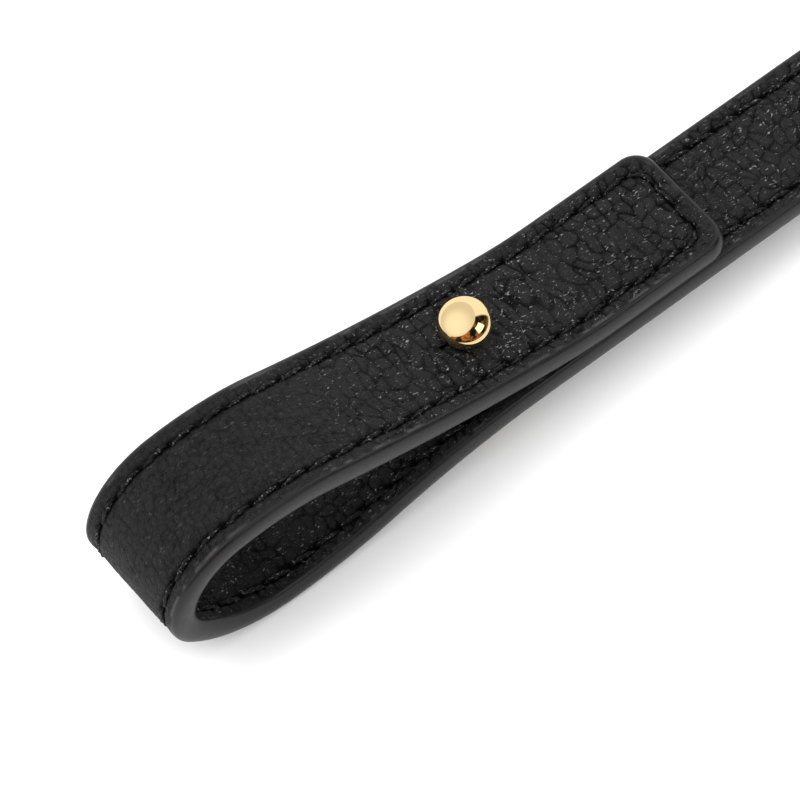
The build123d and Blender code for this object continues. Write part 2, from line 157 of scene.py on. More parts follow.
class Route:
    """A line in the XZ plane that can be read at any distance along it."""

    def __init__(self, x, z, heading, steps):
        self.x, self.z, self.angle, self.distance = trace(x, z, heading, steps, 0.05)
        self.length = self.distance[-1]

    def at(self, s):
        """x, z and heading at distance s; beyond an end the line runs straight on."""
        x = np.interp(s, self.distance, self.x)
        z = np.interp(s, self.distance, self.z)
        angle = np.interp(s, self.distance, self.angle)
        beyond = s - np.clip(s, 0, self.length)
        return x + beyond * np.cos(angle), z + beyond * np.sin(angle), angle

    def points(self, s, y, height):
        """Points `height` to the left of the line."""
        x, z, angle = self.at(s)
        return np.stack([x - height * np.sin(angle), y + 0 * x, z + height * np.cos(angle)], -1)


_, edge_high = box_mm("strap_edge_paint")
loop_low, _ = box_mm("loop_edge_paint")
WIDTH_HALF = edge_high[1]
strap_top = edge_high[2]

trial = Route(0.0, STRAP_HALF, 180.0, STRAP_DIP + STRAP_BEND)
trial_x = (trial.x - STRAP_HALF * np.sin(trial.angle)).min()
dip_start = loop_low[0] - trial_x
root_x = edge_high[0]
RUN = root_x - dip_start
RUN_LENGTH = RUN + sum(length for length, _ in STRAP_DIP)
BEND_LENGTH = sum(length for length, _ in STRAP_BEND)
TAB_LENGTH = sum(length for length, _ in TAB_RISE) + TAB_FLAT
TAB_AT = RUN_LENGTH + BEND_LENGTH
strap_steps = [(RUN, 0.0)] + STRAP_DIP + STRAP_BEND + TAB_RISE + [(TAB_FLAT, 0.0)]
strap = Route(root_x, strap_top - STRAP_HALF, 180.0, strap_steps)
stud_box = box_mm("stud_ball")
STUD_X = (stud_box[0][0] + stud_box[1][0]) / 2
tab_end_x = box_mm("tab_edge_paint")[1][0]
STUD_AT = TAB_AT + TAB_LENGTH - (tab_end_x - STUD_X)
BALL_RADIUS = 3.65
BALL_Z = stud_box[1][2] - BALL_RADIUS

# ---- the strap's stitch rows
def corner_radius(inset):
    """The tab's corners get sharper towards its middle."""
    return TAB_CORNER * (1 - inset / WIDTH_HALF)


def tab_contour(inset, straight, corner, across):
    """One line round the tab at an inset from its edge, as (s, y) from the tab's start.

    The three arguments after inset are shares from 0 to 1 along each side, corner and end."""
    radius = corner_radius(inset)
    reach = TAB_LENGTH - inset - radius
    half = WIDTH_HALF - inset - radius
    theta = corner * math.pi / 2
    near = [straight * reach, -(half + radius) + 0 * straight]
    turn = [reach + radius * np.sin(theta), -half - radius * np.cos(theta)]
    end = [reach + radius + 0 * across, half * (2 * across - 1)]
    s = np.concatenate([near[0], turn[0], end[0], turn[0][::-1], near[0][::-1]])
    y = np.concatenate([near[1], turn[1], end[1], -turn[1][::-1], -near[1][::-1]])
    return s, y


SIDE_SHARES = np.linspace(0, 1, round(TAB_LENGTH / GRAIN_STEP) + 1)
CORNER_SHARES = np.linspace(0, 1, 11)[1:-1]
END_SHARES = np.linspace(0, 1, 45)
row_s, row_y = tab_contour(STITCH_INSET, SIDE_SHARES, CORNER_SHARES, END_SHARES)
row_step = np.hypot(np.diff(row_s), np.diff(row_y))
ROW_ROUND_TAB = np.concatenate([[0.0], np.cumsum(row_step)])
ROW_LENGTH = 2 * TAB_AT + ROW_ROUND_TAB[-1]


def row_place(distance):
    """Where the stitch row is at a distance along it: from the root up the near side, round the
    tab's end and back down the far side. Returns s along the strap and y."""
    on_tab = np.clip(distance - TAB_AT, 0, ROW_ROUND_TAB[-1])
    s = TAB_AT + np.interp(on_tab, ROW_ROUND_TAB, row_s)
    y = np.interp(on_tab, ROW_ROUND_TAB, row_y)
    before = np.minimum(distance - TAB_AT, 0)
    after = np.maximum(distance - TAB_AT - ROW_ROUND_TAB[-1], 0)
    return s + before - after, y


# ---- relief of the leather
CELL_LONG, CELL_WIDE = 1.8, 2.3  # the pebbles' size along and across the strap
EDGE_FADE = 0.6  # how far in from the paint the grain reaches its full depth
# Depths, mm: the creases between pebbles and the finer ones, the bend's wrinkles and pleats, the
# stitch channel with its shoulders and holes, the line beside the paint, and the stud's dent.
CREASE, FINE_CREASE, WRINKLE, PLEAT = 0.17, 0.05, 0.045, 0.07
CHANNEL, SHOULDER, HOLE, PAINT_LINE, DIMPLE = 0.36, 0.14, 0.40, 0.04, 0.55


def stud_creases(s, y):
    """The leather dips round the stud's hole and crinkles on its near side."""
    away = s - STUD_AT
    radius = np.hypot(away, y) + 1e-6
    bearing = np.arctan2(y, away)
    dimple = -DIMPLE * bump(np.maximum(radius - 1.6, 0), 1.9)
    near_side = 0.3 + 0.7 * bump(bearing + 1.2, 1.2)
    ring = bump(radius - 5.2, 2.0) * near_side
    warp = 1.4 * smooth_noise(s / 1.3, y / 1.3, 31)
    rays = -0.16 * np.abs(np.sin(bearing * 11 + warp)) ** 0.7
    folds = 0.11 * np.sin(radius * 5.2 + bearing * 2.5 + 2.4 * smooth_noise(s, y, 32))
    return dimple + ring * (rays + folds), ring


def pebbles(s, y, stretch, seed):
    """Creases between pebbles, strong in some places and faint in others, from 0 to 1."""
    u = s / CELL_LONG + seed + 0.45 * smooth_noise(s / 3.1, y / 3.1, 1)
    v = y / (CELL_WIDE * (1 + stretch)) + 0.45 * smooth_noise(s / 2.7 + 40, y / 2.7, 2)
    strength = np.clip(0.75 + 0.6 * smooth_noise(s / 2.3 + seed, y / 2.9, 5), 0.2, 1)
    fine = bump(cell_edges(u * 2.1 + 9, v * 2.3, 4), 0.2)
    patchy = np.clip(0.3 + 0.9 * smooth_noise(s / 1.9, y / 1.9 + seed, 12), 0, 1)
    return bump(cell_edges(u, v, 3), 0.15) * strength, fine * patchy


def relief(s, y, inset, face, row):
    """How far the leather stands out from its plain shape, and its marks: painted shade in its
    creases, wrinkles and stitch channel and on the lining inside the loop, painted glints, and a
    painted glint line beside the edge paint.

    face is 1 on the outer ply and -1 on the lining. row is the distance along the stitch row."""
    in_bend = 1 / (1 + np.exp(-(s - RUN_LENGTH + 4) / 2)) / (1 + np.exp((s - TAB_AT - 8) / 5))
    grained = np.clip((inset - EDGE_REACH) / EDGE_FADE, 0, 1)
    stretched = np.where(face > 0, in_bend, 0.3 * in_bend)
    pulled = 1.6 * bump(s - STUD_AT - 5, 11) * (face > 0)
    crease, fine = pebbles(s, y, pulled, np.where(face > 0, 0.0, 57.0))
    out = -(CREASE * crease * (1 - 0.8 * stretched) + FINE_CREASE * fine) * grained
    waves = 0.05 * smooth_noise(s / 7, y / 7, 6) + 0.03 * smooth_noise(s / 2.6, y / 2.6, 7)
    out = out + waves * grained
    bent = in_bend * (face > 0) * grained
    warped = 0.5 * smooth_noise(s / 1.7, y / 1.7, 22)
    wrinkles = bump(cell_edges(s / 1.05 + warped, y / 1.4 + warped, 21), 0.2)
    pleats = np.sin(s * 3.4 + 2.2 * smooth_noise(s / 3, y / 2.5, 8))
    out = out - WRINKLE * bent * wrinkles + PLEAT * in_bend * (face < 0) * grained * pleats

    from_row = inset - STITCH_INSET
    phase = row / STITCH_PITCH
    from_hole = (phase - np.round(phase)) * STITCH_PITCH
    wander = 0.10 * smooth_noise(row / 2.4, 0 * row, 9)
    channel = CHANNEL * bump(from_row + wander, 0.42) + SHOULDER * bump(from_row, 1.2)
    out = out - channel - HOLE * bump(from_hole, 0.42) * bump(from_row, 0.36)

    # A dashed line just inside the edge paint: raised a little, with a painted highlight along it.
    dashes = np.clip(0.5 + 1.5 * smooth_noise(row / 0.9, 0 * row, 10), 0, 1)
    dashes = dashes * np.clip(0.6 + smooth_noise(row / 4.5, 0 * row, 11), 0, 1)
    edge_glint_line = bump(inset - EDGE_REACH - 0.12, 0.16) * dashes
    out = out + 0.05 * edge_glint_line - PAINT_LINE * bump(inset - EDGE_REACH + 0.05, 0.12)

    dip, crinkled = stud_creases(s, y)
    near_stud = (face > 0) & (s > TAB_AT)
    out = out + np.where(near_stud, dip, 0.0)
    crinkled = np.where(near_stud, crinkled, 0.0)
    # Painted shade: darker in the pebbles' creases, the bend's wrinkles, the stitch channel and on the
    # lining inside the loop. Painted glints: fewer where the leather is stretched or by the stitches, more
    # in the crinkles round the stud.
    inside_loop_shade = in_bend * (face < 0)
    dark = (crease * (1 - 0.75 * stretched) + 0.35 * fine) * grained + 0.4 * inside_loop_shade
    dark = dark + 0.4 * bent * wrinkles
    dark = dark + 1.2 * bump(from_row + wander - 0.1, 0.42) * (0.55 + 0.45 * bump(from_hole, 0.8))
    glint = (1 - 0.85 * stretched) * grained * (1 - 0.6 * bump(from_row, 0.5)) * (1 + crinkled)
    return out, np.stack([np.clip(dark, 0, 1), glint, edge_glint_line], -1)


def plain_marks(dark, glint=0.8):
    """The marks of a piece of leather: painted shade and painted glints, with no painted edge glint line."""
    dark = np.clip(dark, 0, 1)
    return np.stack([dark, glint + 0 * dark, 0 * dark], -1)


def edge_columns(reach, half, rounds, count):
    """Insets from a rounded edge to the strip's middle, with each one's share of the thickness."""
    theta = np.linspace(0, math.pi / 2, rounds)
    inset = np.concatenate([reach * (1 - np.cos(theta)), np.linspace(reach, half, count)[1:]])
    return inset, np.concatenate([np.sin(theta), np.ones(count - 1)])


def closed_section(inset, share):
    """Side, face, inset and share of the thickness of each column round a strip."""
    near = np.arange(len(inset))
    far = near[::-1]
    picks = np.concatenate([near, far[1:], near[1:], far[1:-1]])
    turns = [len(near), len(far) - 1, len(near) - 1, len(far) - 2]
    side = np.repeat([-1.0, 1.0, 1.0, -1.0], turns)
    face = np.repeat([1.0, 1.0, -1.0, -1.0], turns)
    return side, face, inset[picks], share[picks]


INSET, HEIGHT_SHARE = edge_columns(EDGE_REACH, WIDTH_HALF, 9, 37)
SIDE, FACE, COLUMN_INSET, COLUMN_SHARE = closed_section(INSET, HEIGHT_SHARE)


def strap_surface(s, y, inset, share, face, row):
    """Points of the strap's surface with what its material needs to know of each."""
    out, marks = relief(s, y, inset, face, row)
    height = face * (STRAP_HALF * share + out * share)
    points = strap.points(s, y, height)
    coordinates = np.stack([s, y + 60.0 * face, inset + 0 * s], -1)
    return points, coordinates, marks


def section_rows(s):
    """The closed sections of the strap at each distance s, before the tab."""
    s = np.asarray(s)[:, None] + 0 * SIDE
    y = SIDE * (WIDTH_HALF - COLUMN_INSET) + 0 * s
    row = np.where(SIDE < 0, s, ROW_LENGTH - s)
    return strap_surface(s, y, COLUMN_INSET + 0 * s, COLUMN_SHARE + 0 * s, FACE + 0 * s, row)


def section_normals(s):
    """Surface normals of the section at distance s, which the pieces on both sides of it share."""
    points, _, _ = section_rows([s - GRAIN_STEP / 2, s, s + GRAIN_STEP / 2])
    ahead = points[2] - points[0]
    across = np.roll(points[1], -1, 0) - np.roll(points[1], 1, 0)
    return unit(np.cross(across, ahead))


# ---- meshes
def link(obj):
    bpy.context.scene.collection.objects.link(obj)
    return obj


def grid_faces(rows, columns, wrap_rows=False, wrap_columns=True):
    """Quads of a grid of points, row by row."""
    i = np.arange(rows if wrap_rows else rows - 1)[:, None]
    j = np.arange(columns if wrap_columns else columns - 1)[None, :]
    a = i * columns + j
    b = i * columns + (j + 1) % columns
    c = (i + 1) % rows * columns + (j + 1) % columns
    d = (i + 1) % rows * columns + j
    return np.stack([a, b, c, d], -1).reshape(-1, 4)


def rings_round(path, up, wide, high, sides, closed=False):
    """Rings of points round a path. up says which way they stand, and high is their reach there."""
    if closed:
        ahead = unit(np.roll(path, -1, 0) - np.roll(path, 1, 0))
    else:
        ahead = unit(np.gradient(path, axis=0))
    side = unit(np.cross(np.broadcast_to(up, ahead.shape), ahead))
    top = np.cross(ahead, side)
    theta = circle(sides)
    across, upwards = wide * np.cos(theta) + 0 * theta, high * np.sin(theta) + 0 * theta
    return path[:, None] + (side[:, None] * across[..., None] + top[:, None] * upwards[..., None])


def lidded_faces(rows, sides):
    """Faces of a tube from rings of points, with a lid on each end."""
    first = np.arange(sides)
    lids = [first[::-1].tolist(), (first + (rows - 1) * sides).tolist()]
    return grid_faces(rows, sides).tolist() + lids


def make_piece(name, points, faces, materials, slots=None, fields=None):
    """A smooth mesh object from points in millimetres. fields are vectors kept at each point."""
    mesh = bpy.data.meshes.new(name)
    points = np.reshape(points, (-1, 3)) * MM
    mesh.from_pydata(points.tolist(), [], [list(map(int, f)) for f in faces])
    for material in materials:
        mesh.materials.append(material)
    if slots is not None:
        mesh.polygons.foreach_set("material_index", np.asarray(slots, np.int32))
    for field, values in (fields or {}).items():
        attribute = mesh.attributes.new(field, "FLOAT_VECTOR", "POINT")
        attribute.data.foreach_set("vector", np.asarray(values, np.float32).ravel())
    mesh.polygons.foreach_set("use_smooth", np.ones(len(mesh.polygons), bool))
    mesh.update()
    return link(bpy.data.objects.new(name, mesh))


def rework(obj, weld=0.0, outwards=True):
    """Joins points closer than weld, in metres, and turns the faces outwards."""
    work = bmesh.new()
    work.from_mesh(obj.data)
    if weld:
        bmesh.ops.remove_doubles(work, verts=work.verts, dist=weld)
    if outwards:
        bmesh.ops.recalc_face_normals(work, faces=work.faces)
    work.to_mesh(obj.data)
    work.free()
    obj.data.update()
    return obj


def sharpen(obj, degrees):
    """Edges sharper than this stay crisp."""
    obj.data.set_sharp_from_angle(angle=math.radians(degrees))
    return obj


def section_cap(first, columns, backwards):
    """Faces that close a section between its outer and its lining columns."""
    faces = []
    for k in range(columns // 2):
        quad = [k, (k + 1) % columns, (columns - k - 1) % columns, (columns - k) % columns]
        corners = [first + v for n, v in enumerate(quad) if v not in quad[:n]]
        if len(corners) > 2:
            faces.append(corners[::-1] if backwards else corners)
    return faces


def read_vectors(obj, field):
    values = np.zeros(len(obj.data.vertices) * 3)
    obj.data.vertices.foreach_get(field, values)
    return values.reshape(-1, 3)


def set_end_normals(obj, places):
    """Gives chosen points a set normal, so that two pieces that meet there shade as one."""
    normals = read_vectors(obj, "normal")
    for indices, values in places:
        normals[indices] = values
    obj.data.normals_split_custom_set_from_vertices(normals.tolist())


def strip_piece(name, points, coordinates, marks, inset, reach):
    """A strip of leather through the closed sections along it, with paint on its ends and on its
    edges up to reach."""
    count, columns = points.shape[:2]
    total = count * columns
    between = (inset + np.roll(inset, -1)) / 2
    slots = np.tile(np.where(between < reach, 1, 0), count - 1)
    caps = section_cap(total, columns, True) + section_cap(total + columns, columns, False)
    faces = grid_faces(count, columns).tolist() + caps
    slots = np.concatenate([slots, np.ones(len(caps), int)])
    values = [np.concatenate([v.reshape(-1, 3), v[0], v[-1]]) for v in (points, coordinates, marks)]
    fields = {"leather_at": values[1], "leather_shade_and_glints": values[2]}
    return make_piece(name, values[0], faces, [LEATHER, PAINT], slots, fields)


def strap_length_piece(name, start, end, shared_start):
    """A length of strap with domed painted edges, grain and stitch channels. Another piece goes
    on from its end, and from its start too where that is shared."""
    count = round((end - start) / GRAIN_STEP) + 1
    sections = section_rows(np.linspace(start, end, count))
    obj = strip_piece(name, *sections, COLUMN_INSET, EDGE_REACH)
    columns = np.arange(len(SIDE))
    places = [(columns + (count - 1) * len(SIDE), section_normals(end))]
    if shared_start:
        places.append((columns, section_normals(start)))
    set_end_normals(obj, places)
    return obj


def strap_tab_piece(name):
    """The tab: lines round its outline at growing insets, on both faces, joined along its edge."""
    lines = [tab_contour(inset, SIDE_SHARES, CORNER_SHARES, END_SHARES) for inset in INSET]
    s, y = np.swapaxes(lines, 0, 1)
    s = TAB_AT + s
    row = TAB_AT + ROW_ROUND_TAB[None, :] + 0 * s
    inset = INSET[:, None] + 0 * s
    share = HEIGHT_SHARE[:, None] + 0 * s
    sheets = []
    for face, order in ((1.0, slice(None, None, -1)), (-1.0, slice(1, None))):
        values = strap_surface(s, y, inset, share, face + 0 * s, row)
        sheets.append([value[order] for value in values])
    points, coordinates, marks = (np.concatenate(pair) for pair in zip(*sheets))
    rows, around = points.shape[:2]
    row_inset = np.concatenate([INSET[::-1], INSET[1:]])
    middle = (row_inset[:-1] + row_inset[1:]) / 2
    slots = np.repeat(np.where(middle < EDGE_REACH, 1, 0), around - 1)
    fields = {"leather_at": coordinates, "leather_shade_and_glints": marks}
    faces = grid_faces(rows, around, wrap_columns=False)
    obj = make_piece(name, points, faces, [LEATHER, PAINT], slots, fields)
    return rework(obj, weld=2e-6, outwards=False)


def match_section(obj, s):
    """Gives the points of obj that lie on the section at s the normals that section has."""
    points, _, _ = section_rows([s])
    normals = section_normals(s)
    co = read_vectors(obj, "co") / MM
    x, z, angle = strap.at(np.array([s]))
    ahead = (co[:, 0] - x) * np.cos(angle) + (co[:, 2] - z) * np.sin(angle)
    close = np.flatnonzero(np.abs(ahead) < 0.02)
    gaps = np.linalg.norm(co[close][:, None] - points[0][None], axis=2)
    best = gaps.argmin(1)
    good = gaps.min(1) < 0.02
    set_end_normals(obj, [(close[good], normals[best[good]])])


def cut_buttonhole(obj):
    """Cuts the stud's hole, with a slit on the loop's side that lets the ball through."""
    hole, slit_half, slit_end = 2.3, 0.25, 4.6
    below, above = 14.0, 4.0  # how far the cutter goes each way from the ball's middle
    start = math.asin(slit_half / hole)
    theta = np.linspace(math.pi - start, start - math.pi, 61)
    x = np.concatenate([hole * np.cos(theta), [-slit_end, -slit_end]]) + STUD_X
    y = np.concatenate([hole * np.sin(theta), [-slit_half, slit_half]])
    points = [np.stack([x, y, z + 0 * x], -1) for z in (BALL_Z - below, BALL_Z + above)]
    count = len(x)
    faces = grid_faces(2, count).tolist()
    faces += [list(range(count)), list(range(count, 2 * count))[::-1]]
    cutter = rework(make_piece("keyhole", points, faces, []))
    cut = obj.modifiers.new("buttonhole", "BOOLEAN")
    cut.object = cutter
    cut.operation = "DIFFERENCE"
    cut.solver = "EXACT"
    shape = obj.evaluated_get(bpy.context.evaluated_depsgraph_get())
    mesh = bpy.data.meshes.new_from_object(shape)
    obj.modifiers.clear()
    obj.data = mesh
    bpy.data.objects.remove(cutter)


# ---- thread
THREAD_RADIUS = 0.31
STITCH_RINGS, STITCH_SIDES = 15, 10


def stitch_mesh(path, outwards, radius):
    """A twisted two-strand stitch along path, thinner where it dives into the leather."""
    t = np.linspace(0, 1, len(path))[:, None]
    taper = radius * (0.35 + 0.65 * np.sin(math.pi * np.clip(t, 0.02, 0.98)) ** 0.45)
    reach = taper * (1 + 0.30 * np.cos(2 * circle(STITCH_SIDES) - 19 * t))
    return rings_round(path, outwards, reach, reach, STITCH_SIDES)


def thread_piece(name, stitches):
    """A piece of many stitches, each given as its path, the way out of the leather and its
    thread's radius."""
    size = STITCH_RINGS * STITCH_SIDES
    stitch_faces = lidded_faces(STITCH_RINGS, STITCH_SIDES)
    points = [stitch_mesh(*stitch) for stitch in stitches]
    faces = [[v + number * size for v in f] for number in range(len(points)) for f in stitch_faces]
    return rework(make_piece(name, points, faces, [THREAD]))


def stitch_row(holes, surface):
    """Stitches between the holes of a row, for thread_piece, and their distances along the row.
    surface(distance, height, across) gives a stitch's path and the way out of the leather."""
    stitches, distances = [], []
    t = np.linspace(0, 1, STITCH_RINGS)
    for number, (start, end) in enumerate(zip(holes[:-1], holes[1:])):
        jitter = hashed(np.int64(number), np.int64(len(holes)), 5, 12) - 0.5
        distance = start + 0.25 + (end - start - 0.5) * t
        height = -0.66 + (0.50 + 0.08 * jitter) * np.sin(math.pi * t) ** 0.6
        across = (0.55 + 0.2 * jitter) * (t - 0.5)
        path, outwards = surface(distance, height, across)
        stitches.append((path, outwards, THREAD_RADIUS * (1 + 0.12 * jitter)))
        distances.append(distance)
    return stitches, distances


def strap_stitches(name, start, end):
    """Stitches on both faces whose distance along the strap's row lies between start and end,
    and how far along the strap each of their points is."""
    first = math.ceil(start / STITCH_PITCH - 0.5)
    last = math.ceil(end / STITCH_PITCH - 0.5)
    holes = np.arange(first, last + 1) * STITCH_PITCH
    holes = holes[(holes >= 0) & (holes <= ROW_LENGTH)]
    stitches, distances = [], []
    for face in (1.0, -1.0):

        def surface(distance, height, across, face=face):
            s, y = row_place(distance)
            s2, y2 = row_place(distance + 0.05)
            ahead = unit(np.stack([s2 - s, y2 - y], -1))
            s, y = s - ahead[:, 1] * across, y + ahead[:, 0] * across
            path = strap.points(s, y, face * (STRAP_HALF + height))
            below = strap.points(s, y, face * (STRAP_HALF + height - 1))
            return path, path - below

        on_face, along = stitch_row(holes, surface)
        stitches += on_face
        distances += along
    s, _ = row_place(np.repeat(np.concatenate(distances), STITCH_SIDES))
    return thread_piece(name, stitches), s


# ---- materials
def new_material(name):
    material = bpy.data.materials.new(name)
    material.use_nodes = True
    tree = material.node_tree
    return material, tree, tree.nodes["Principled BSDF"]


def add(tree, kind, inputs=None, **settings):
    """A node with its settings, and its inputs as values or as sockets to link."""
    node = tree.nodes.new(kind)
    for key, value in settings.items():
        setattr(node, key, value)
    for key, value in (inputs or {}).items():
        if isinstance(value, bpy.types.NodeSocket):
            tree.links.new(value, node.inputs[key])
        else:
            node.inputs[key].default_value = value
    return node


def connect(tree, shader, colour, roughness, normal):
    """Gives the shader what varies over the surface."""
    for socket, value in (("Base Color", colour), ("Roughness", roughness), ("Normal", normal)):
        tree.links.new(value, shader.inputs[socket])


def mapped(tree, value, low, high, to_low=0.0, to_high=1.0, kind="SMOOTHSTEP"):
    inputs = {"Value": value, "From Min": low, "From Max": high}
    inputs.update({"To Min": to_low, "To Max": to_high})
    node = add(tree, "ShaderNodeMapRange", inputs, interpolation_type=kind)
    return node.outputs["Result"]


def math_node(tree, operation, a, b=0.0):
    return add(tree, "ShaderNodeMath", {0: a, 1: b}, operation=operation).outputs[0]


def times(tree, a, b):
    return math_node(tree, "MULTIPLY", a, b)


def mixed(tree, share, low, high):
    """A colour between two, each a tuple, a grey or a socket."""
    node = add(tree, "ShaderNodeMix", {0: share}, data_type="RGBA")
    for index, value in ((6, low), (7, high)):
        if isinstance(value, bpy.types.NodeSocket):
            tree.links.new(value, node.inputs[index])
        else:
            colour = (value,) * 3 if isinstance(value, float) else value
            node.inputs[index].default_value = (*colour, 1.0)
    return node.outputs[2]


def noise_of(tree, vector, scale, detail, roughness=0.5):
    inputs = {"Vector": vector, "Scale": scale, "Detail": detail, "Roughness": roughness}
    return add(tree, "ShaderNodeTexNoise", inputs).outputs["Fac"]


def cells_of(tree, vector, scale):
    inputs = {"Vector": vector, "Scale": scale}
    node = add(tree, "ShaderNodeTexVoronoi", inputs, feature="DISTANCE_TO_EDGE")
    return node.outputs["Distance"]


def bumped(tree, height, distance, normal=None):
    inputs = {"Height": height, "Distance": distance, "Strength": 1.0}
    if normal is not None:
        inputs["Normal"] = normal
    return add(tree, "ShaderNodeBump", inputs).outputs["Normal"]


def scaled(tree, vector, factors):
    node = add(tree, "ShaderNodeVectorMath", {0: vector, 1: factors}, operation="MULTIPLY")
    return node.outputs["Vector"]


def object_vector(tree):
    """Object coordinates in millimetres."""
    place = add(tree, "ShaderNodeTexCoord").outputs["Object"]
    return scaled(tree, place, (1 / MM, 1 / MM, 1 / MM))


def attribute_of(tree, name, output):
    return add(tree, "ShaderNodeAttribute", attribute_name=name).outputs[output]


def pebbled_leather(name, along_surface):
    """Black pebbled leather with fine pores, painted shade in its creases and short painted glints and
    highlights in its colour. It sits on coordinates stored along the leather, so that the grain
    stays put when the leather bends, or on the object's own."""
    material, tree, shader = new_material(name)
    place = attribute_of(tree, "leather_at", "Vector") if along_surface else object_vector(tree)
    wobble = add(tree, "ShaderNodeTexNoise", {"Vector": place, "Scale": 0.6}).outputs["Color"]
    moved = {0: wobble, 1: (1.3, 1.3, 1.3), 2: place}
    shifted = add(tree, "ShaderNodeVectorMath", moved, operation="MULTIPLY_ADD").outputs["Vector"]
    pores = mapped(tree, cells_of(tree, scaled(tree, shifted, (1.0, 0.8, 1.0)), 2.1), 0.0, 0.22)
    dust = noise_of(tree, place, 7.0, 3.0, 0.7)
    if along_surface:
        # Painted shade, painted glints and the painted edge glint line, stored at each point.
        marks = attribute_of(tree, "leather_shade_and_glints", "Vector")
        dark, glint, edge_glint_line = add(tree, "ShaderNodeSeparateXYZ", {0: marks}).outputs
    else:
        # Painted shade in the creases between the cells, painted glints everywhere, and no painted edge
        # line.
        dark = mapped(tree, cells_of(tree, shifted, 0.42), 0.10, 0.0)
        glint, edge_glint_line = 0.7, 0.0
    deep, worn = (0.0048, 0.0048, 0.0052), (0.0150, 0.0150, 0.0158)
    tint = mixed(tree, mapped(tree, dust, 0.3, 0.7), deep, worn)
    # Painted shade: the creases go nearly black.
    tint = mixed(tree, times(tree, dark, 0.95), tint, (0.0005, 0.0005, 0.0006))
    # Painted glints: short pale specks in groups, and a painted highlight on the edge line.
    short = noise_of(tree, scaled(tree, shifted, (1.6, 3.6, 1.0)), 1.0, 2.0, 0.6)
    groups = mapped(tree, noise_of(tree, place, 0.6, 2.0), 0.42, 0.62, 0.12, 1.0)
    specks = mapped(tree, short, 0.61, 0.68)
    specks = times(tree, times(tree, specks, groups), glint)
    bright = math_node(tree, "MAXIMUM", specks, times(tree, edge_glint_line, 0.35))
    colour = mixed(tree, bright, tint, (0.20, 0.20, 0.21))
    # Painted shade on the reflection as well: the creases reflect a quarter as much.
    shade = mixed(tree, dark, 1.0, 0.25)
    tree.links.new(shade, shader.inputs["Specular Tint"])
    rough = mapped(tree, dust, 0.2, 0.8, 0.42, 0.62)
    rough = math_node(tree, "SUBTRACT", rough, times(tree, bright, 0.18))
    shader.inputs["Specular IOR Level"].default_value = 0.24
    normal = bumped(tree, dust, 0.05 * MM, bumped(tree, pores, 0.07 * MM))
    connect(tree, shader, colour, rough, normal)
    return material


def mottled(name, noise, colours, rough, bumps, place=None, **levels):
    """A material whose colour and roughness follow one noise. noise is that noise's scale, detail
    and roughness, rough its range and what it maps to, and bumps their depth in mm and their own
    noise if they have one. place(tree) gives other coordinates than the object's, in mm."""
    material, tree, shader = new_material(name)
    where = (place or object_vector)(tree)
    patches = noise_of(tree, where, *noise)
    depth, *own = bumps
    height = noise_of(tree, where, *own) if own else patches
    for level, value in levels.items():
        shader.inputs[level.replace("_", " ")].default_value = value
    normal = bumped(tree, height, depth * MM)
    connect(tree, shader, mixed(tree, patches, *colours), mapped(tree, patches, *rough), normal)
    return material


def plated(name, colour, roughness):
    """Polished plated metal with the faintest wear marks."""
    colours = (tuple(0.97 * c for c in colour), colour)
    rough = (0.3, 0.8, roughness, roughness * 1.7 + 0.01)
    return mottled(name, (0.9, 4.0, 0.6), colours, rough, (0.0008, 6.0, 2.0), Metallic=1.0)


def waxed_thread(name):
    """Black twisted waxed thread with short pale glints painted into its colour."""
    fibres = ((0.0015, 0.0015, 0.0017), (0.0060, 0.0060, 0.0065))
    rough = (0.3, 0.7, 0.35, 0.6)
    material = mottled(name, (7.0, 3.0, 0.6), fibres, rough, (0.04,), Specular_IOR_Level=0.22)
    tree = material.node_tree
    colour = tree.nodes["Principled BSDF"].inputs["Base Color"]
    # Painted glints: pale specks in the thread's colour.
    glints = mapped(tree, noise_of(tree, object_vector(tree), 3.2, 2.0, 0.6), 0.60, 0.68)
    tree.links.new(mixed(tree, glints, colour.links[0].from_socket, (0.14, 0.14, 0.145)), colour)
    return material


GOLD = plated("gold_plate", (1.0, 0.76, 0.40), 0.035)
STEEL = plated("nickel_plate", (0.62, 0.60, 0.57), 0.16)
LEATHER = pebbled_leather("strap_leather", True)
PAINT = mottled(  # smooth, a little uneven, satin
    "edge_paint",
    (0.8, 3.0),
    ((0.0060, 0.0060, 0.0065), (0.0095, 0.0095, 0.0100)),
    (0.2, 0.8, 0.26, 0.36),
    (0.02, 1.6, 2.0),
    Specular_IOR_Level=0.4,
)
THREAD = waxed_thread("strap_thread")

# ---- strap, loop and tab
run = strap_length_piece("strap_leather", 0.0, RUN_LENGTH, False)
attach(run, "strap")
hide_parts("strap_outer_ply", "strap_core", "strap_lining_ply", "strap_edge_paint")

loop = strap_length_piece("loop_leather", RUN_LENGTH, TAB_AT, True)
tab = strap_tab_piece("tab_leather")
cut_buttonhole(tab)
match_section(tab, TAB_AT)
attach(tab, "tab")
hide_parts("tab_outer_ply", "tab_core", "tab_lining_ply", "tab_edge_paint")


def bend_share(s):
    """How much of the tab's lift the loop has taken up at distance s along the strap."""
    t = np.clip((s - RUN_LENGTH) / BEND_LENGTH, 0, 1)
    return eased(t)


def blend_by_length(obj, s):
    """Bends the piece between strap and tab by how far along the leather its points are, at s,
    rather than by where they are, with no kink at either end."""
    x, z, _ = strap.at(np.array([RUN_LENGTH, TAB_AT]))
    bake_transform(obj, "strap", "tab", start=(x[0] * MM, 0, z[0] * MM), end=(x[1] * MM, 0, z[1] * MM))
    weight = obj.data.attributes["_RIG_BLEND"]
    weight.data.foreach_set("value", bend_share(s).astype(np.float32))


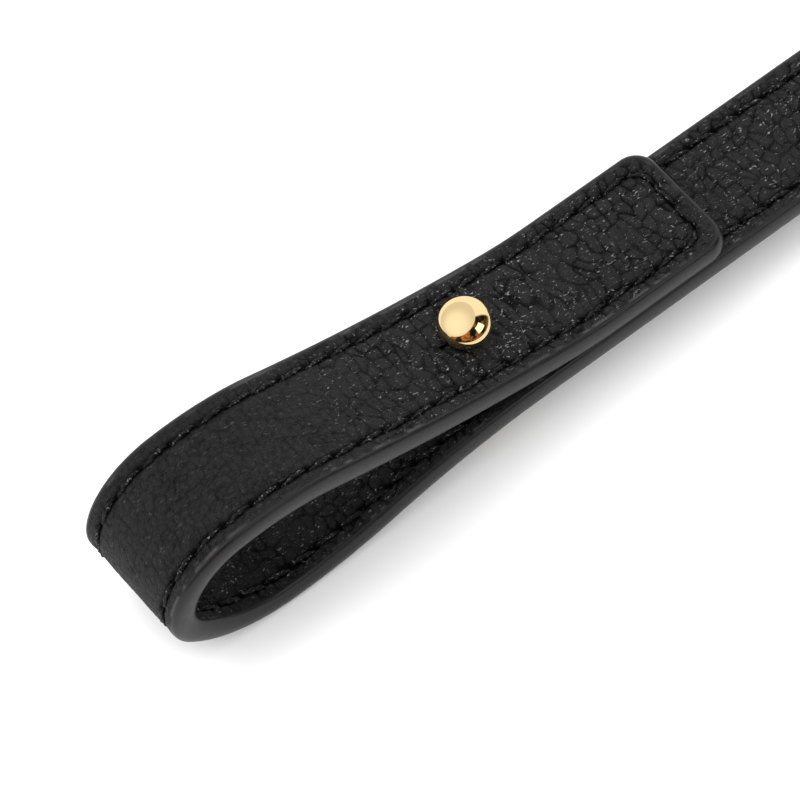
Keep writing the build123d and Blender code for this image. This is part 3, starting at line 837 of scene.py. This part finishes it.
columns = len(SIDE)
loop_rows = round(BEND_LENGTH / GRAIN_STEP) + 1
loop_s = np.repeat(np.linspace(RUN_LENGTH, TAB_AT, loop_rows), columns)
loop_s = np.concatenate([loop_s, np.full(columns, RUN_LENGTH), np.full(columns, TAB_AT)])
blend_by_length(loop, loop_s)
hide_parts("loop_outer_ply", "loop_core", "loop_lining_ply", "loop_edge_paint")

far_start = TAB_AT + ROW_ROUND_TAB[-1]
stitch_pieces = [  # name, where it starts and ends along the stitch row, and part of the strap
    ("strap_stitches_near", 0.0, RUN_LENGTH, "strap"),
    ("loop_stitches_near", RUN_LENGTH, TAB_AT, "loop"),
    ("tab_stitches", TAB_AT, far_start, "tab"),
    ("loop_stitches_far", far_start, far_start + BEND_LENGTH, "loop"),
    ("strap_stitches_far", far_start + BEND_LENGTH, ROW_LENGTH, "strap"),
]
for name, start, end, part in stitch_pieces:
    stitches, stitch_s = strap_stitches(name, start, end)
    if part == "loop":
        blend_by_length(stitches, stitch_s)
    else:
        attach(stitches, part)
    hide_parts(part + "_stitching")


# ---- turned pieces
def lathe(name, outline, centre, axis, sides):
    """A gold piece turned about an axis through centre, from (distance along, radius) points."""
    axis = Vector(axis).normalized()
    side = axis.orthogonal().normalized()
    other = axis.cross(side)
    theta = circle(sides)
    ring = np.outer(np.cos(theta), side) + np.outer(np.sin(theta), other)
    along, radius = np.array(outline, float).T[:, :, None, None]
    points = np.array(centre) + along * np.array(axis) + radius * ring
    faces = grid_faces(len(outline), sides)
    return rework(make_piece(name, points, faces, [GOLD]), weld=1e-7)


def rounded(points, radius, count=6):
    """An (along, radius) outline with its corners rounded, except at its two ends."""
    points = [np.array(p, float) for p in points]
    found = [points[0]]
    for before, corner, after in zip(points[:-2], points[1:-1], points[2:]):
        back, ahead = before - corner, after - corner
        reach = min(radius, 0.45 * np.linalg.norm(back), 0.45 * np.linalg.norm(ahead))
        a, b = corner + unit(back) * reach, corner + unit(ahead) * reach
        for t in np.linspace(0, 1, count):
            found.append((1 - t) ** 2 * a + 2 * t * (1 - t) * corner + t * t * b)
    return found + [points[-1]]


def stud_head():
    """The stud's head, a ball flattened on top that leans a little towards the lower left."""
    radius, flatness, middle = 1.03 * BALL_RADIUS, 0.6, -0.6
    lean, toward = math.radians(12), math.radians(215)
    axis = (math.cos(toward) * math.sin(lean), math.sin(toward) * math.sin(lean), math.cos(lean))
    outline = [
        (middle + flatness * radius * math.sin(t), abs(radius * math.cos(t)))
        for t in np.linspace(-math.pi / 2, math.pi / 2, 97)
    ]
    return lathe("stud_head", outline, (STUD_X - 0.2, 0.16, BALL_Z), axis, 128)


def stud_base():
    """The stud's neck and the flange that it stands on."""
    foot, flange, neck, neck_top = stud_box[0][2] - BALL_Z, 3.8, 1.9, -2.6
    outline = [(foot, 0.0), (foot, flange), (foot + 1.0, flange), (foot + 1.0, neck)]
    outline += [(neck_top, neck), (neck_top, 0.0)]
    return lathe("stud_base", rounded(outline, 0.3), (STUD_X, 0, BALL_Z), (0, 0, 1), 96)


for piece in (stud_head(), stud_base()):
    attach(piece, "strap")
    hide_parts("stud_ball")


def tube(name, points, radius, up, sides, material, closed=True):
    """A tube along points. radius may be a pair, the second one along up."""
    wide, high = np.broadcast_to(radius, 2)
    rings = rings_round(points, up, wide, high, sides, closed)
    if closed:
        faces = grid_faces(len(points), sides, wrap_rows=True)
    else:
        faces = lidded_faces(len(points), sides)
    return make_piece(name, rings, faces, [material])


def finish_piece(obj, body, node):
    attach(obj, body)
    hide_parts(node)
    return obj


# ---- ring, rivets and the strap's turn
ring_low, ring_high = box_mm("d_ring")
WIRE = (ring_high[2] - ring_low[2]) / 2
RING_X = ring_low[0] + WIRE
AXIS_Z = (ring_high[2] + ring_low[2]) / 2
RING_CORNER = 2.6
RING_BAR = ring_high[1] - WIRE - RING_CORNER
corner = (math.pi / 2 * RING_CORNER, -90.0)
bow = (math.pi * (RING_BAR + RING_CORNER), -180.0)
ring_line = Route(RING_X, -RING_BAR, 90.0, [(2 * RING_BAR, 0.0), corner, bow, corner])
ring_x, ring_y, _ = ring_line.at(np.linspace(0, ring_line.length, 181)[:-1])
ring_middle = np.stack([ring_x, ring_y, 0 * ring_x + AXIS_Z], -1)
ring = tube("d_ring_wire", ring_middle, WIRE, (0, 0, 1), 28, GOLD)
finish_piece(ring, "ring", "d_ring")

rivet_low, rivet_high = box_mm("root_rivets")
rivet_x = (rivet_high[0] + rivet_low[0]) / 2
RIVET_TALL = rivet_high[2] - rivet_low[2]
RIVET_CAP = (rivet_high[0] - rivet_low[0]) / 2
CAP_HEIGHT, CAP_DOMED, STEM_RADIUS = 1.1, 0.8, 1.3
dome = np.linspace(0, math.pi / 2, 14)
rivet_line = [(CAP_DOMED * (1 - math.cos(t)), RIVET_CAP * math.sin(t)) for t in dome]
rivet_line += [(CAP_HEIGHT, RIVET_CAP), (CAP_HEIGHT, STEM_RADIUS)]
rivet_line += [(RIVET_TALL - a, r) for a, r in reversed(rivet_line)]
for name, side in (("rivet_near", -1), ("rivet_far", 1)):
    rivet_foot = (rivet_x, side * (rivet_high[1] - RIVET_CAP), rivet_low[2])
    rivet = lathe(name, rivet_line, rivet_foot, (0, 0, 1), 48)
    finish_piece(sharpen(rivet, 50), "strap", "root_rivets")


def band(name, route, half, width_at, spacing, reach, rows=None, seed=0.0):
    """A strip of leather along a route, `half` thick each side of it, with its edges rounded up to
    reach. rows(s, y, face) says how much of a stitch channel is at each point."""
    s = np.linspace(0, route.length, round(route.length / spacing) + 1)
    widest = max(width_at(s))
    columns = edge_columns(reach, widest, 6, round(widest / spacing) + 1)
    side, face, inset, share = closed_section(*columns)
    width = width_at(s)[:, None]
    within_edge = (width - reach) * (widest - inset) / (widest - reach)
    y = side * np.where(inset < reach, width - inset, within_edge)
    s = s[:, None] + 0 * y
    grained = np.clip((inset - reach) / EDGE_FADE, 0, 1)
    crease, fine = pebbles(s, y, 0.0, seed + 11 * face)
    waves = 0.04 * smooth_noise(s / 6 + seed, y / 6, 6)
    out = grained * (waves - 0.10 * crease - 0.03 * fine)
    # Painted shade in the creases and, below, in the stitch channels; painted glints where the grain is
    # full.
    dark = grained * (0.9 * crease + 0.3 * fine)
    if rows is not None:
        sunk = rows(s, y, face)
        out = out - 0.32 * sunk
        dark = dark + 0.8 * sunk
    points = route.points(s, y, face * (half * share + out * share))
    coordinates = np.stack([s + 200 + seed, y + 60.0 * face, 0 * s], -1)
    return strip_piece(name, points, coordinates, plain_marks(dark, 0.8 * grained), inset, reach)


LEG_LENGTH = 17.0  # of the lining, under the strap, from the ring to where it stops
leg_z = strap_top - 2 * STRAP_HALF - PLY / 2
turn_steps = [(LEG_LENGTH, 0.0), (math.pi * STRAP_HALF, 180.0), (RING_X - root_x, 0.0)]
turn_route = Route(RING_X - LEG_LENGTH, leg_z, 0.0, turn_steps)
turn = band("strap_ring_turn", turn_route, PLY / 2, lambda s: WIDTH_HALF + 0 * s, 0.4, 0.3)
finish_piece(turn, "strap", "strap_lining_ply")

# ---- handle
cap_low, cap_high = box_mm("butt_cap")
EYE_RADIUS, EYE_HOLE, EYE_HALF = 3.6, 1.8, 1.5
EYE_STANDS = 5.0  # how far behind the cap's dome the eye's middle is
CAP_DOME = 4.0
eye_x = cap_low[0] + EYE_RADIUS
CAP_REAR = eye_x + EYE_STANDS
GRIP_RADIUS = AXIS_Z


def fitting(name, line, corner, start, sides, node):
    """A gold fitting turned about the crop's axis, from an outline whose corners get rounded."""
    piece = lathe(name, rounded(line, corner, 5), (start, 0, AXIS_Z), (1, 0, 0), sides)
    return finish_piece(sharpen(piece, 60), "crop", node)


def cap_line():
    """The butt cap's outline: a neck for the eye, a dome, two grooves and a rolled front edge."""
    length, groove = cap_high[0] - CAP_REAR, GRIP_RADIUS - 0.5
    line = [(1.6 - EYE_STANDS, 0.0), (1.6 - EYE_STANDS, 1.5), (-1.6, 1.7), (0.15, 2.6)]
    for t in np.linspace(0, math.pi / 2, 20):
        if GRIP_RADIUS * math.sin(t) > 2.9:
            line.append((CAP_DOME * (1 - math.cos(t)), GRIP_RADIUS * math.sin(t)))
    for middle in (length - 4.8, length - 2.4):
        line += [(middle - 0.6, GRIP_RADIUS), (middle - 0.45, groove)]
        line += [(middle + 0.45, groove), (middle + 0.6, GRIP_RADIUS)]
    return line + [(length, GRIP_RADIUS), (length, 2.5), (length - 0.5, 2.5)]


fitting("butt_cap_gold", cap_line(), 0.35, CAP_REAR, 128, "butt_cap")
theta = circle(60)
eye_middle = (EYE_RADIUS + EYE_HOLE) / 2
eye_up, eye_along = eye_middle * np.sin(theta), eye_middle * np.cos(theta)
eye_path = np.stack([eye_x + eye_along, 0 * theta, AXIS_Z + eye_up], -1)
eye_radii = ((EYE_RADIUS - EYE_HOLE) / 2, EYE_HALF)
eye = tube("butt_cap_eye", eye_path, eye_radii, (0, 1, 0), 20, GOLD)
finish_piece(eye, "crop", "butt_cap")

grip_low, grip_high = box_mm("grip_leather")
GRIP_LENGTH = grip_high[0] - grip_low[0]
SEAM_PITCH = 5.0


def sleeve(name, points, places, dark):
    """A closed tube of leather from rings of points, with their places on the hide and the painted
    shade at each, darker in creases and grooves."""
    fields = {"leather_at": places, "leather_shade_and_glints": plain_marks(dark)}
    obj = make_piece(name, points, lidded_faces(*points.shape[:2]), [LEATHER], None, fields)
    return sharpen(rework(obj), 60)


def grip_sleeve():
    """The sewn leather sleeve of the grip: grained, with a seam along its top and rounded ends."""
    spacing, sides, end_round = 0.45, 128, 0.7
    x = np.linspace(0, GRIP_LENGTH, round(GRIP_LENGTH / spacing) + 1)[:, None]
    near_end = 1 - np.clip(np.minimum(x, GRIP_LENGTH - x) / end_round, 0, 1)
    shoulder = end_round * (1 - np.sqrt(np.clip(1 - near_end**2, 0, 1)))
    turn = circle(sides)[None, :]
    around = turn * GRIP_RADIUS
    crease, fine = pebbles(x + 0 * turn, around + 0 * x, 0.0, 300)
    from_seam = ((turn + math.pi) % (2 * math.pi) - math.pi) * GRIP_RADIUS
    seam = bump(from_seam, 0.4)
    lips = bump(np.abs(from_seam) - 1.1, 0.7)
    radius = GRIP_RADIUS - shoulder - 0.12 * crease - 0.04 * fine - 0.3 * seam + 0.06 * lips
    radius = radius + 0.05 * smooth_noise(x / 9, around / 9, 44)
    x = x + 0 * turn
    y, z = radius * np.sin(turn), AXIS_Z + radius * np.cos(turn)
    places = np.stack([x + 400, around + 0 * x, 0 * x], -1)
    points = np.stack([grip_low[0] + x, y, z], -1)
    # Painted shade in the creases and along the seam.
    return sleeve("grip_sleeve", points, places, crease + 0.3 * fine + seam)


finish_piece(grip_sleeve(), "crop", "grip_leather")


def seam_stitches():
    """Slanted stitches that draw the sleeve's two edges together along the top of the grip."""
    count = int(GRIP_LENGTH / SEAM_PITCH)
    first_x = (grip_low[0] + grip_high[0]) / 2 - (count - 1) / 2 * SEAM_PITCH
    stitches = []
    t = np.linspace(0, 1, STITCH_RINGS)
    bearing = (t - 0.5) * 3.0 / GRIP_RADIUS
    for number in range(count):
        for slant, over in ((-1, 0.0), (1, 0.12)):
            radius = GRIP_RADIUS + (-0.7 + 0.55 * np.sin(math.pi * t) ** 0.5 + over)
            x = first_x + number * SEAM_PITCH + slant * (t - 0.5) * 2.8
            y, z = radius * np.sin(bearing), radius * np.cos(bearing)
            path = np.stack([x, y, AXIS_Z + z], -1)
            stitches.append((path, np.stack([0 * x, y, z], -1), 0.34))
    return thread_piece("grip_seam_stitches", stitches)


finish_piece(seam_stitches(), "crop", "grip_stitching")

# ---- ferrule, braid and collar
ferrule_low, ferrule_high = box_mm("grip_ferrule")
collar_low, collar_high = box_mm("tip_collar")
BRAID_BUTT, BRAID_TIP = 3.8, 2.5
FERRULE_LENGTH = ferrule_high[0] - ferrule_low[0]
SKIRT = 5.0  # the ferrule's straight part, with its groove
GROOVE_RADIUS = GRIP_RADIUS - 0.4
LIP = BRAID_BUTT + 0.9
line = [(0.0, BRAID_BUTT - 0.2), (0.0, GRIP_RADIUS), (1.6, GRIP_RADIUS), (1.9, GROOVE_RADIUS)]
line += [(2.5, GROOVE_RADIUS), (2.8, GRIP_RADIUS), (SKIRT, GRIP_RADIUS)]
for t in np.linspace(0, 1, 12)[1:]:
    narrowing = (LIP - GRIP_RADIUS) * math.sin(t * math.pi / 2)
    line.append((SKIRT + (FERRULE_LENGTH - SKIRT - 1.6) * t, GRIP_RADIUS + narrowing))
line += [(FERRULE_LENGTH - 1.3, LIP + 0.35), (FERRULE_LENGTH, LIP + 0.35)]
line.append((FERRULE_LENGTH, BRAID_BUTT - 0.2))
fitting("ferrule_gold", line, 0.3, ferrule_low[0], 128, "grip_ferrule")

COLLAR_LENGTH = collar_high[0] - collar_low[0]
COLLAR_RADIUS = collar_high[1]
waist = COLLAR_RADIUS - 0.45
line = [(0.0, BRAID_TIP - 0.3), (0.0, COLLAR_RADIUS), (1.4, COLLAR_RADIUS), (1.8, waist)]
line += [(COLLAR_LENGTH - 1.8, waist), (COLLAR_LENGTH - 1.4, COLLAR_RADIUS)]
line += [(COLLAR_LENGTH, COLLAR_RADIUS), (COLLAR_LENGTH, 1.8)]
fitting("tip_collar_gold", line, 0.25, collar_low[0], 96, "tip_collar")

STRANDS = 8  # each way round


def braid():
    """Flat plaited strands, eight each way, over and under each other along the tapering shaft."""
    start, end = ferrule_high[0] - 2.0, collar_low[0] + 1.5
    x = np.linspace(start, end, round((end - start) / 0.36))[:, None]
    share = (x - ferrule_high[0]) / (collar_low[0] - ferrule_high[0])
    radius = BRAID_BUTT + (BRAID_TIP - BRAID_BUTT) * np.clip(share, 0, 1) - 0.42
    swing = np.cumsum(np.gradient(x, axis=0) / (radius * 1.15), axis=0)
    width = 0.80 * math.pi * radius / STRANDS
    across = np.array([-1.0, -0.75, 0.0, 0.75, 1.0, 0.75, 0.0, -0.75])
    high = np.roll(across, -2)
    quads = grid_faces(len(x), len(across))
    points, faces, places = [], [], []
    for way in (-1, 1):
        reach = radius + 0.17 * way * np.cos(swing * STRANDS) + 0.24 * high
        for strand in range(STRANDS):
            angle = way * swing + 2 * math.pi * strand / STRANDS
            bearing = angle + width * across * 0.75 / radius
            forward = -way * width * across * 0.65
            y, z = reach * np.sin(bearing), AXIS_Z + reach * np.cos(bearing)
            faces.extend((quads + len(points) * reach.size).tolist())
            points.append(np.stack([x + forward, y, z], -1))
            lane = 7 * len(points) + 0 * reach  # keeps the strands' yarns apart
            places.append(np.stack([swing * 4 + 0 * reach, across + 0 * reach, lane], -1))
    return make_piece("braid_strands", points, faces, [BRAID], None, {"strand_at": places})


BRAID = mottled(  # fine waxed yarns that run along each flat strand
    "braid_cord",
    (1.6, 3.0, 0.6),
    ((0.004, 0.004, 0.0045), (0.016, 0.016, 0.017)),
    (0.3, 0.7, 0.32, 0.6),
    (0.08,),
    lambda tree: scaled(tree, attribute_of(tree, "strand_at", "Vector"), (0.5, 5.0, 1.0)),
)
finish_piece(rework(braid()), "crop", "shaft_braid")

# ---- tongue
neck_low, neck_high = box_mm("tongue_neck")
whip_low, whip_high = box_mm("tip_whipping")
tongue_low, tongue_high = box_mm("tongue_leather")
TONGUE_HALF = (tongue_high[2] - tongue_low[2]) / 2
TONGUE_WIDTH = tongue_high[1]
TONGUE_LEATHER = 1.6
FLARE = 16.0
ROOT_HALF = 6.0  # half the tongue's width where it leaves its neck
NECK_WIDE, NECK_HIGH = 4.95, 3.35  # half sizes of the neck under the whipping


def rounded_loop(wide, high, power, theta):
    """Points of a squarish oval with half sizes wide and high."""
    c, s = np.cos(theta), np.sin(theta)
    scale = (np.abs(c) ** power + np.abs(s) ** power) ** (-1 / power)
    return wide * c * scale, high * s * scale


def whipping():
    """Waxed thread wound tightly round the tongue's neck."""
    pitch, thread = 0.84, 0.42
    turns = (whip_high[0] - whip_low[0] - 2 * thread) / pitch
    theta = np.linspace(0, 2 * math.pi * turns, round(turns * 44))
    y, z = rounded_loop(whip_high[1] - thread, whip_high[2] - AXIS_Z - thread, 4.0, theta)
    x = whip_low[0] + thread + theta / (2 * math.pi) * pitch
    path = np.stack([x, y, AXIS_Z + z], -1)
    return tube("whipping_thread", path, thread * 1.02, (1, 0, 0), 10, THREAD, closed=False)


finish_piece(rework(whipping()), "crop", "tip_whipping")


def neck():
    """The tongue's neck: leather gathered under the whipping, which flattens into the tongue."""
    x = np.linspace(neck_low[0], neck_high[0], 61)[:, None]
    share = np.clip((x - whip_high[0]) / (neck_high[0] - whip_high[0]), 0, 1)
    ease = eased(share)
    theta = circle(72)
    wide = NECK_WIDE + (ROOT_HALF - NECK_WIDE) * ease
    high = NECK_HIGH + (TONGUE_HALF - NECK_HIGH) * ease
    y, z = rounded_loop(wide, high, 4.0 + 4.0 * ease, theta)
    along, around = x + 0 * y, theta * 5.0 + 0 * y
    crease = bump(cell_edges(along / 2.0 + 600, around / 2.3, 51), 0.2)
    folds = 0.16 * (1 - ease) * np.sin(theta * 9 + smooth_noise(along / 2, around / 3, 52))
    scale = 1 + (-0.07 * crease + folds * share) / np.hypot(y, z)
    points = np.stack([along, y * scale, AXIS_Z + z * scale], -1)
    places = np.stack([along + 600, around, 0 * along], -1)
    # Painted shade in the creases.
    return sleeve("neck_leather", points, places, 0.8 * crease)


neck_piece = neck()
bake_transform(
    neck_piece,
    "crop",
    "tongue",
    start=(whip_high[0] * MM, 0, AXIS_Z * MM),
    end=(neck_high[0] * MM, 0, AXIS_Z * MM),
)
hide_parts("tongue_neck")

layer_z = TONGUE_HALF - TONGUE_LEATHER / 2
straight = tongue_high[0] - tongue_low[0] - TONGUE_HALF
tongue_steps = [(straight, 0.0), (math.pi * layer_z, -180.0), (straight, 0.0)]
tongue_route = Route(tongue_low[0], AXIS_Z + layer_z, 0.0, tongue_steps)
TONGUE_ROW_Y = TONGUE_WIDTH - STITCH_INSET
ROWS_START = FLARE + STITCH_INSET
ROWS_END = straight - STITCH_INSET


def tongue_width(s):
    """Half the tongue's width at distance s along its folded leather."""
    x, _, _ = tongue_route.at(s)
    share = np.clip((x - tongue_low[0]) / FLARE, 0, 1)
    return ROOT_HALF + (TONGUE_WIDTH - ROOT_HALF) * eased(share)


def tongue_channel(s, y, face):
    """The stitch channels near the tongue's two long edges, on its outer side, from 0 to 1."""
    x, _, _ = tongue_route.at(s)
    inside = (x > tongue_low[0] + ROWS_START - 1) & (x < tongue_low[0] + ROWS_END + 1)
    return bump(np.abs(y) - TONGUE_ROW_Y, 0.5) * inside * (face > 0)


tongue_half = TONGUE_LEATHER / 2
tongue_grain = {"spacing": 0.45, "reach": 0.4, "rows": tongue_channel, "seed": 31.0}
tongue = band("tongue_folded_leather", tongue_route, tongue_half, tongue_width, **tongue_grain)
finish_piece(tongue, "tongue", "tongue_leather")


def tongue_stitches():
    """The rows of stitches near the tongue's two long edges, on its top and its underside."""
    holes = np.arange(ROWS_START, ROWS_END, STITCH_PITCH)
    stitches = []
    for top in (1.0, -1.0):
        for side in (-1, 1):

            def surface(distance, height, across, top=top, side=side):
                z = AXIS_Z + top * (TONGUE_HALF + height)
                path = np.stack([tongue_low[0] + distance, side * TONGUE_ROW_Y + across, z], -1)
                return path, np.broadcast_to([0.0, 0.0, top], path.shape)

            stitches += stitch_row(holes, surface)[0]
    return thread_piece("tongue_stitches", stitches)


finish_piece(tongue_stitches(), "tongue", "tongue_stitching")

# ---- finishes of the CAD pieces that stay
INNER_LEATHER = pebbled_leather("plain_leather", False)


def fibrous(name, light, dark, stretch):
    """Wood, glass fibre or pressed board, whose fibres are drawn out along X."""

    def drawn(tree):
        return scaled(tree, object_vector(tree), (1 / stretch, 1.0, 1.0))

    return mottled(name, (1.4, 4.0, 0.6), (dark, light), (0.2, 0.8, 0.45, 0.7), (0.04,), drawn)


finishes = {
    "stud_screw": GOLD,
    "cap_stud": STEEL,
    "cap_washer": INNER_LEATHER,
    "grip_core": fibrous("turned_wood", (0.36, 0.22, 0.11), (0.20, 0.11, 0.05), 12.0),
    "shaft_rod": fibrous("glass_fibre", (0.030, 0.030, 0.032), (0.012, 0.012, 0.013), 20.0),
    "tongue_stiffener_board": fibrous("grey_board", (0.09, 0.085, 0.08), (0.05, 0.047, 0.044), 1.5),
}
for node, finish in finishes.items():
    for material_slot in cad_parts[node].material_slots:
        material_slot.material = finish

# ---- floor, light and camera
def make_floor():
    """White paper, a hair below the crop. Shiny things see it darker than the camera does."""
    material, tree, shader = new_material("floor_paper")
    fibres = noise_of(tree, object_vector(tree), 0.02, 2.0)
    tone = mixed(tree, fibres, 0.90, 0.92)
    mirrored = add(tree, "ShaderNodeLightPath").outputs["Is Glossy Ray"]
    tone = mixed(tree, mirrored, tone, 0.58)
    tree.links.new(tone, shader.inputs["Base Color"])
    shader.inputs["Roughness"].default_value = 0.9
    shader.inputs["Specular IOR Level"].default_value = 0.1
    half, z = 4000.0, -0.05
    corners = [(-half, -half, z), (half, -half, z), (half, half, z), (-half, half, z)]
    make_piece("floor", corners, [[0, 1, 2, 3]], [material])


def heading_vector(azimuth, elevation):
    """The unit vector at an azimuth from +X and an elevation, both in degrees."""
    az, el = math.radians(azimuth), math.radians(elevation)
    return (math.cos(az) * math.cos(el), math.sin(az) * math.cos(el), math.sin(el))


KEY = (143, 58)  # azimuth and elevation of the lamp
SOFTBOX = (128, 57)  # the same for the big pale screen that shiny things show
GLOW = (162, 60)  # the same for the screen's brightest place
ROOM = -95  # azimuth of the dark side of the room
ROOM_HALF = 84  # half the width of that dark side, in degrees
WINDOW = (33, 42)  # the window's turn from the dark side's middle, and its elevation
WINDOW_HALF = (17, 14)  # half its width and height
SOFTBOX_HALF, GLOW_HALF = 55, 52
SKY_STRENGTH = 1.7
MIRRORED = 0.62  # share of the sky's strength that shiny things show


def make_world():
    """A white room with a wide softbox, dark beyond it on one side, where a window shows."""
    world = bpy.data.worlds.new("studio")
    world.use_nodes = True
    tree = world.node_tree
    direction = add(tree, "ShaderNodeTexCoord").outputs["Generated"]

    def part(vector):
        """How much of the view's direction lies along a unit vector."""
        inputs = {0: direction, 1: vector}
        node = add(tree, "ShaderNodeVectorMath", inputs, operation="DOT_PRODUCT")
        return node.outputs["Value"]

    sideways, forwards = part(heading_vector(ROOM + 90, 0)), part(heading_vector(ROOM, 0))
    turn = math_node(tree, "ARCTAN2", sideways, forwards)
    rise = math_node(tree, "ARCSINE", part((0.0, 0.0, 1.0)))

    def within(value, middle, half, soft):
        """1 where an angle is within half of the middle and 0 outside, all in degrees."""
        away = math_node(tree, "ABSOLUTE", math_node(tree, "SUBTRACT", value, math.radians(middle)))
        return mapped(tree, away, math.radians(half + soft), math.radians(half - soft))

    edge = [math.cos(math.radians(SOFTBOX_HALF + soft)) for soft in (1, -1)]
    softbox = mapped(tree, part(heading_vector(*SOFTBOX)), *edge)
    beyond = math_node(tree, "SUBTRACT", 1.0, softbox)
    room = times(tree, within(turn, 0, ROOM_HALF, 4), beyond)
    room = times(tree, room, mapped(tree, rise, math.radians(3), math.radians(5)))
    window = times(tree, *(within(*v, 2) for v in zip((turn, rise), WINDOW, WINDOW_HALF)))
    wall = mixed(tree, within(turn, 45, 36, 12), (0.42, 0.17, 0.07), (0.16, 0.12, 0.06))
    clutter = mapped(tree, noise_of(tree, direction, 3.2, 3.0, 0.6), 0.44, 0.56)
    dim = mixed(tree, clutter, (0.010, 0.008, 0.007), wall)
    glow = mapped(tree, part(heading_vector(*GLOW)), math.cos(math.radians(GLOW_HALF)), 1.0)
    screen = mixed(tree, glow, 0.74, (1.02, 1.04, 1.10))
    sky = mixed(tree, softbox, 1.0, screen)
    sky = mixed(tree, room, sky, dim)
    sky = mixed(tree, window, sky, (1.5, 1.55, 1.6))
    ray = add(tree, "ShaderNodeLightPath").outputs
    shaded = mapped(tree, part(heading_vector(ROOM, 5)), 0.5, 0.95)
    plain = mixed(tree, shaded, 0.88, 0.50)
    sky = mixed(tree, ray["Is Glossy Ray"], plain, sky)
    background = tree.nodes["Background"].inputs
    tree.links.new(mixed(tree, ray["Is Camera Ray"], sky, 1.0), background["Color"])
    strengths = (SKY_STRENGTH, SKY_STRENGTH * MIRRORED)
    strength = mapped(tree, ray["Is Glossy Ray"], 0, 1, *strengths, "LINEAR")
    tree.links.new(strength, background["Strength"])
    bpy.context.scene.world = world


def make_lamp(name, place, target, size, power):
    data = bpy.data.lights.new(name, "AREA")
    data.shape = "DISK"
    data.size = size
    data.energy = power
    lamp = link(bpy.data.objects.new(name, data))
    lamp.location = place
    lamp.visible_glossy = False
    lamp.rotation_euler = (Vector(target) - Vector(place)).to_track_quat("-Z", "Y").to_euler()


def make_camera():
    """A long lens from the lower left, 59 degrees above the surface, aimed beside the stud."""
    azimuth, elevation, roll, distance = -39.07, 59.31, -0.31, 682.9
    data = bpy.data.cameras.new("camera")
    data.sensor_width = 36.0
    data.lens = 225.0
    data.clip_start = 0.01
    camera = link(bpy.data.objects.new("camera", data))
    target = Vector((STUD_X - 9.36, 2.67, strap_top - 2 * STRAP_HALF)) * MM
    back = Vector(heading_vector(azimuth - 90, elevation))
    camera.location = target + back * distance * MM
    turn = back.to_track_quat("Z", "Y").to_matrix().to_4x4()
    camera.rotation_euler = (turn @ Matrix.Rotation(math.radians(roll), 4, "Z")).to_euler()
    bpy.context.scene.camera = camera


make_floor()
make_world()
middle = (STUD_X * MM, 0.0, 0.01)
lamp_place = [a + 1.2 * b for a, b in zip(middle, heading_vector(*KEY))]
make_lamp("key", lamp_place, middle, size=0.9, power=7.6)
make_camera()
bpy.context.scene.view_settings.view_transform = "Standard"
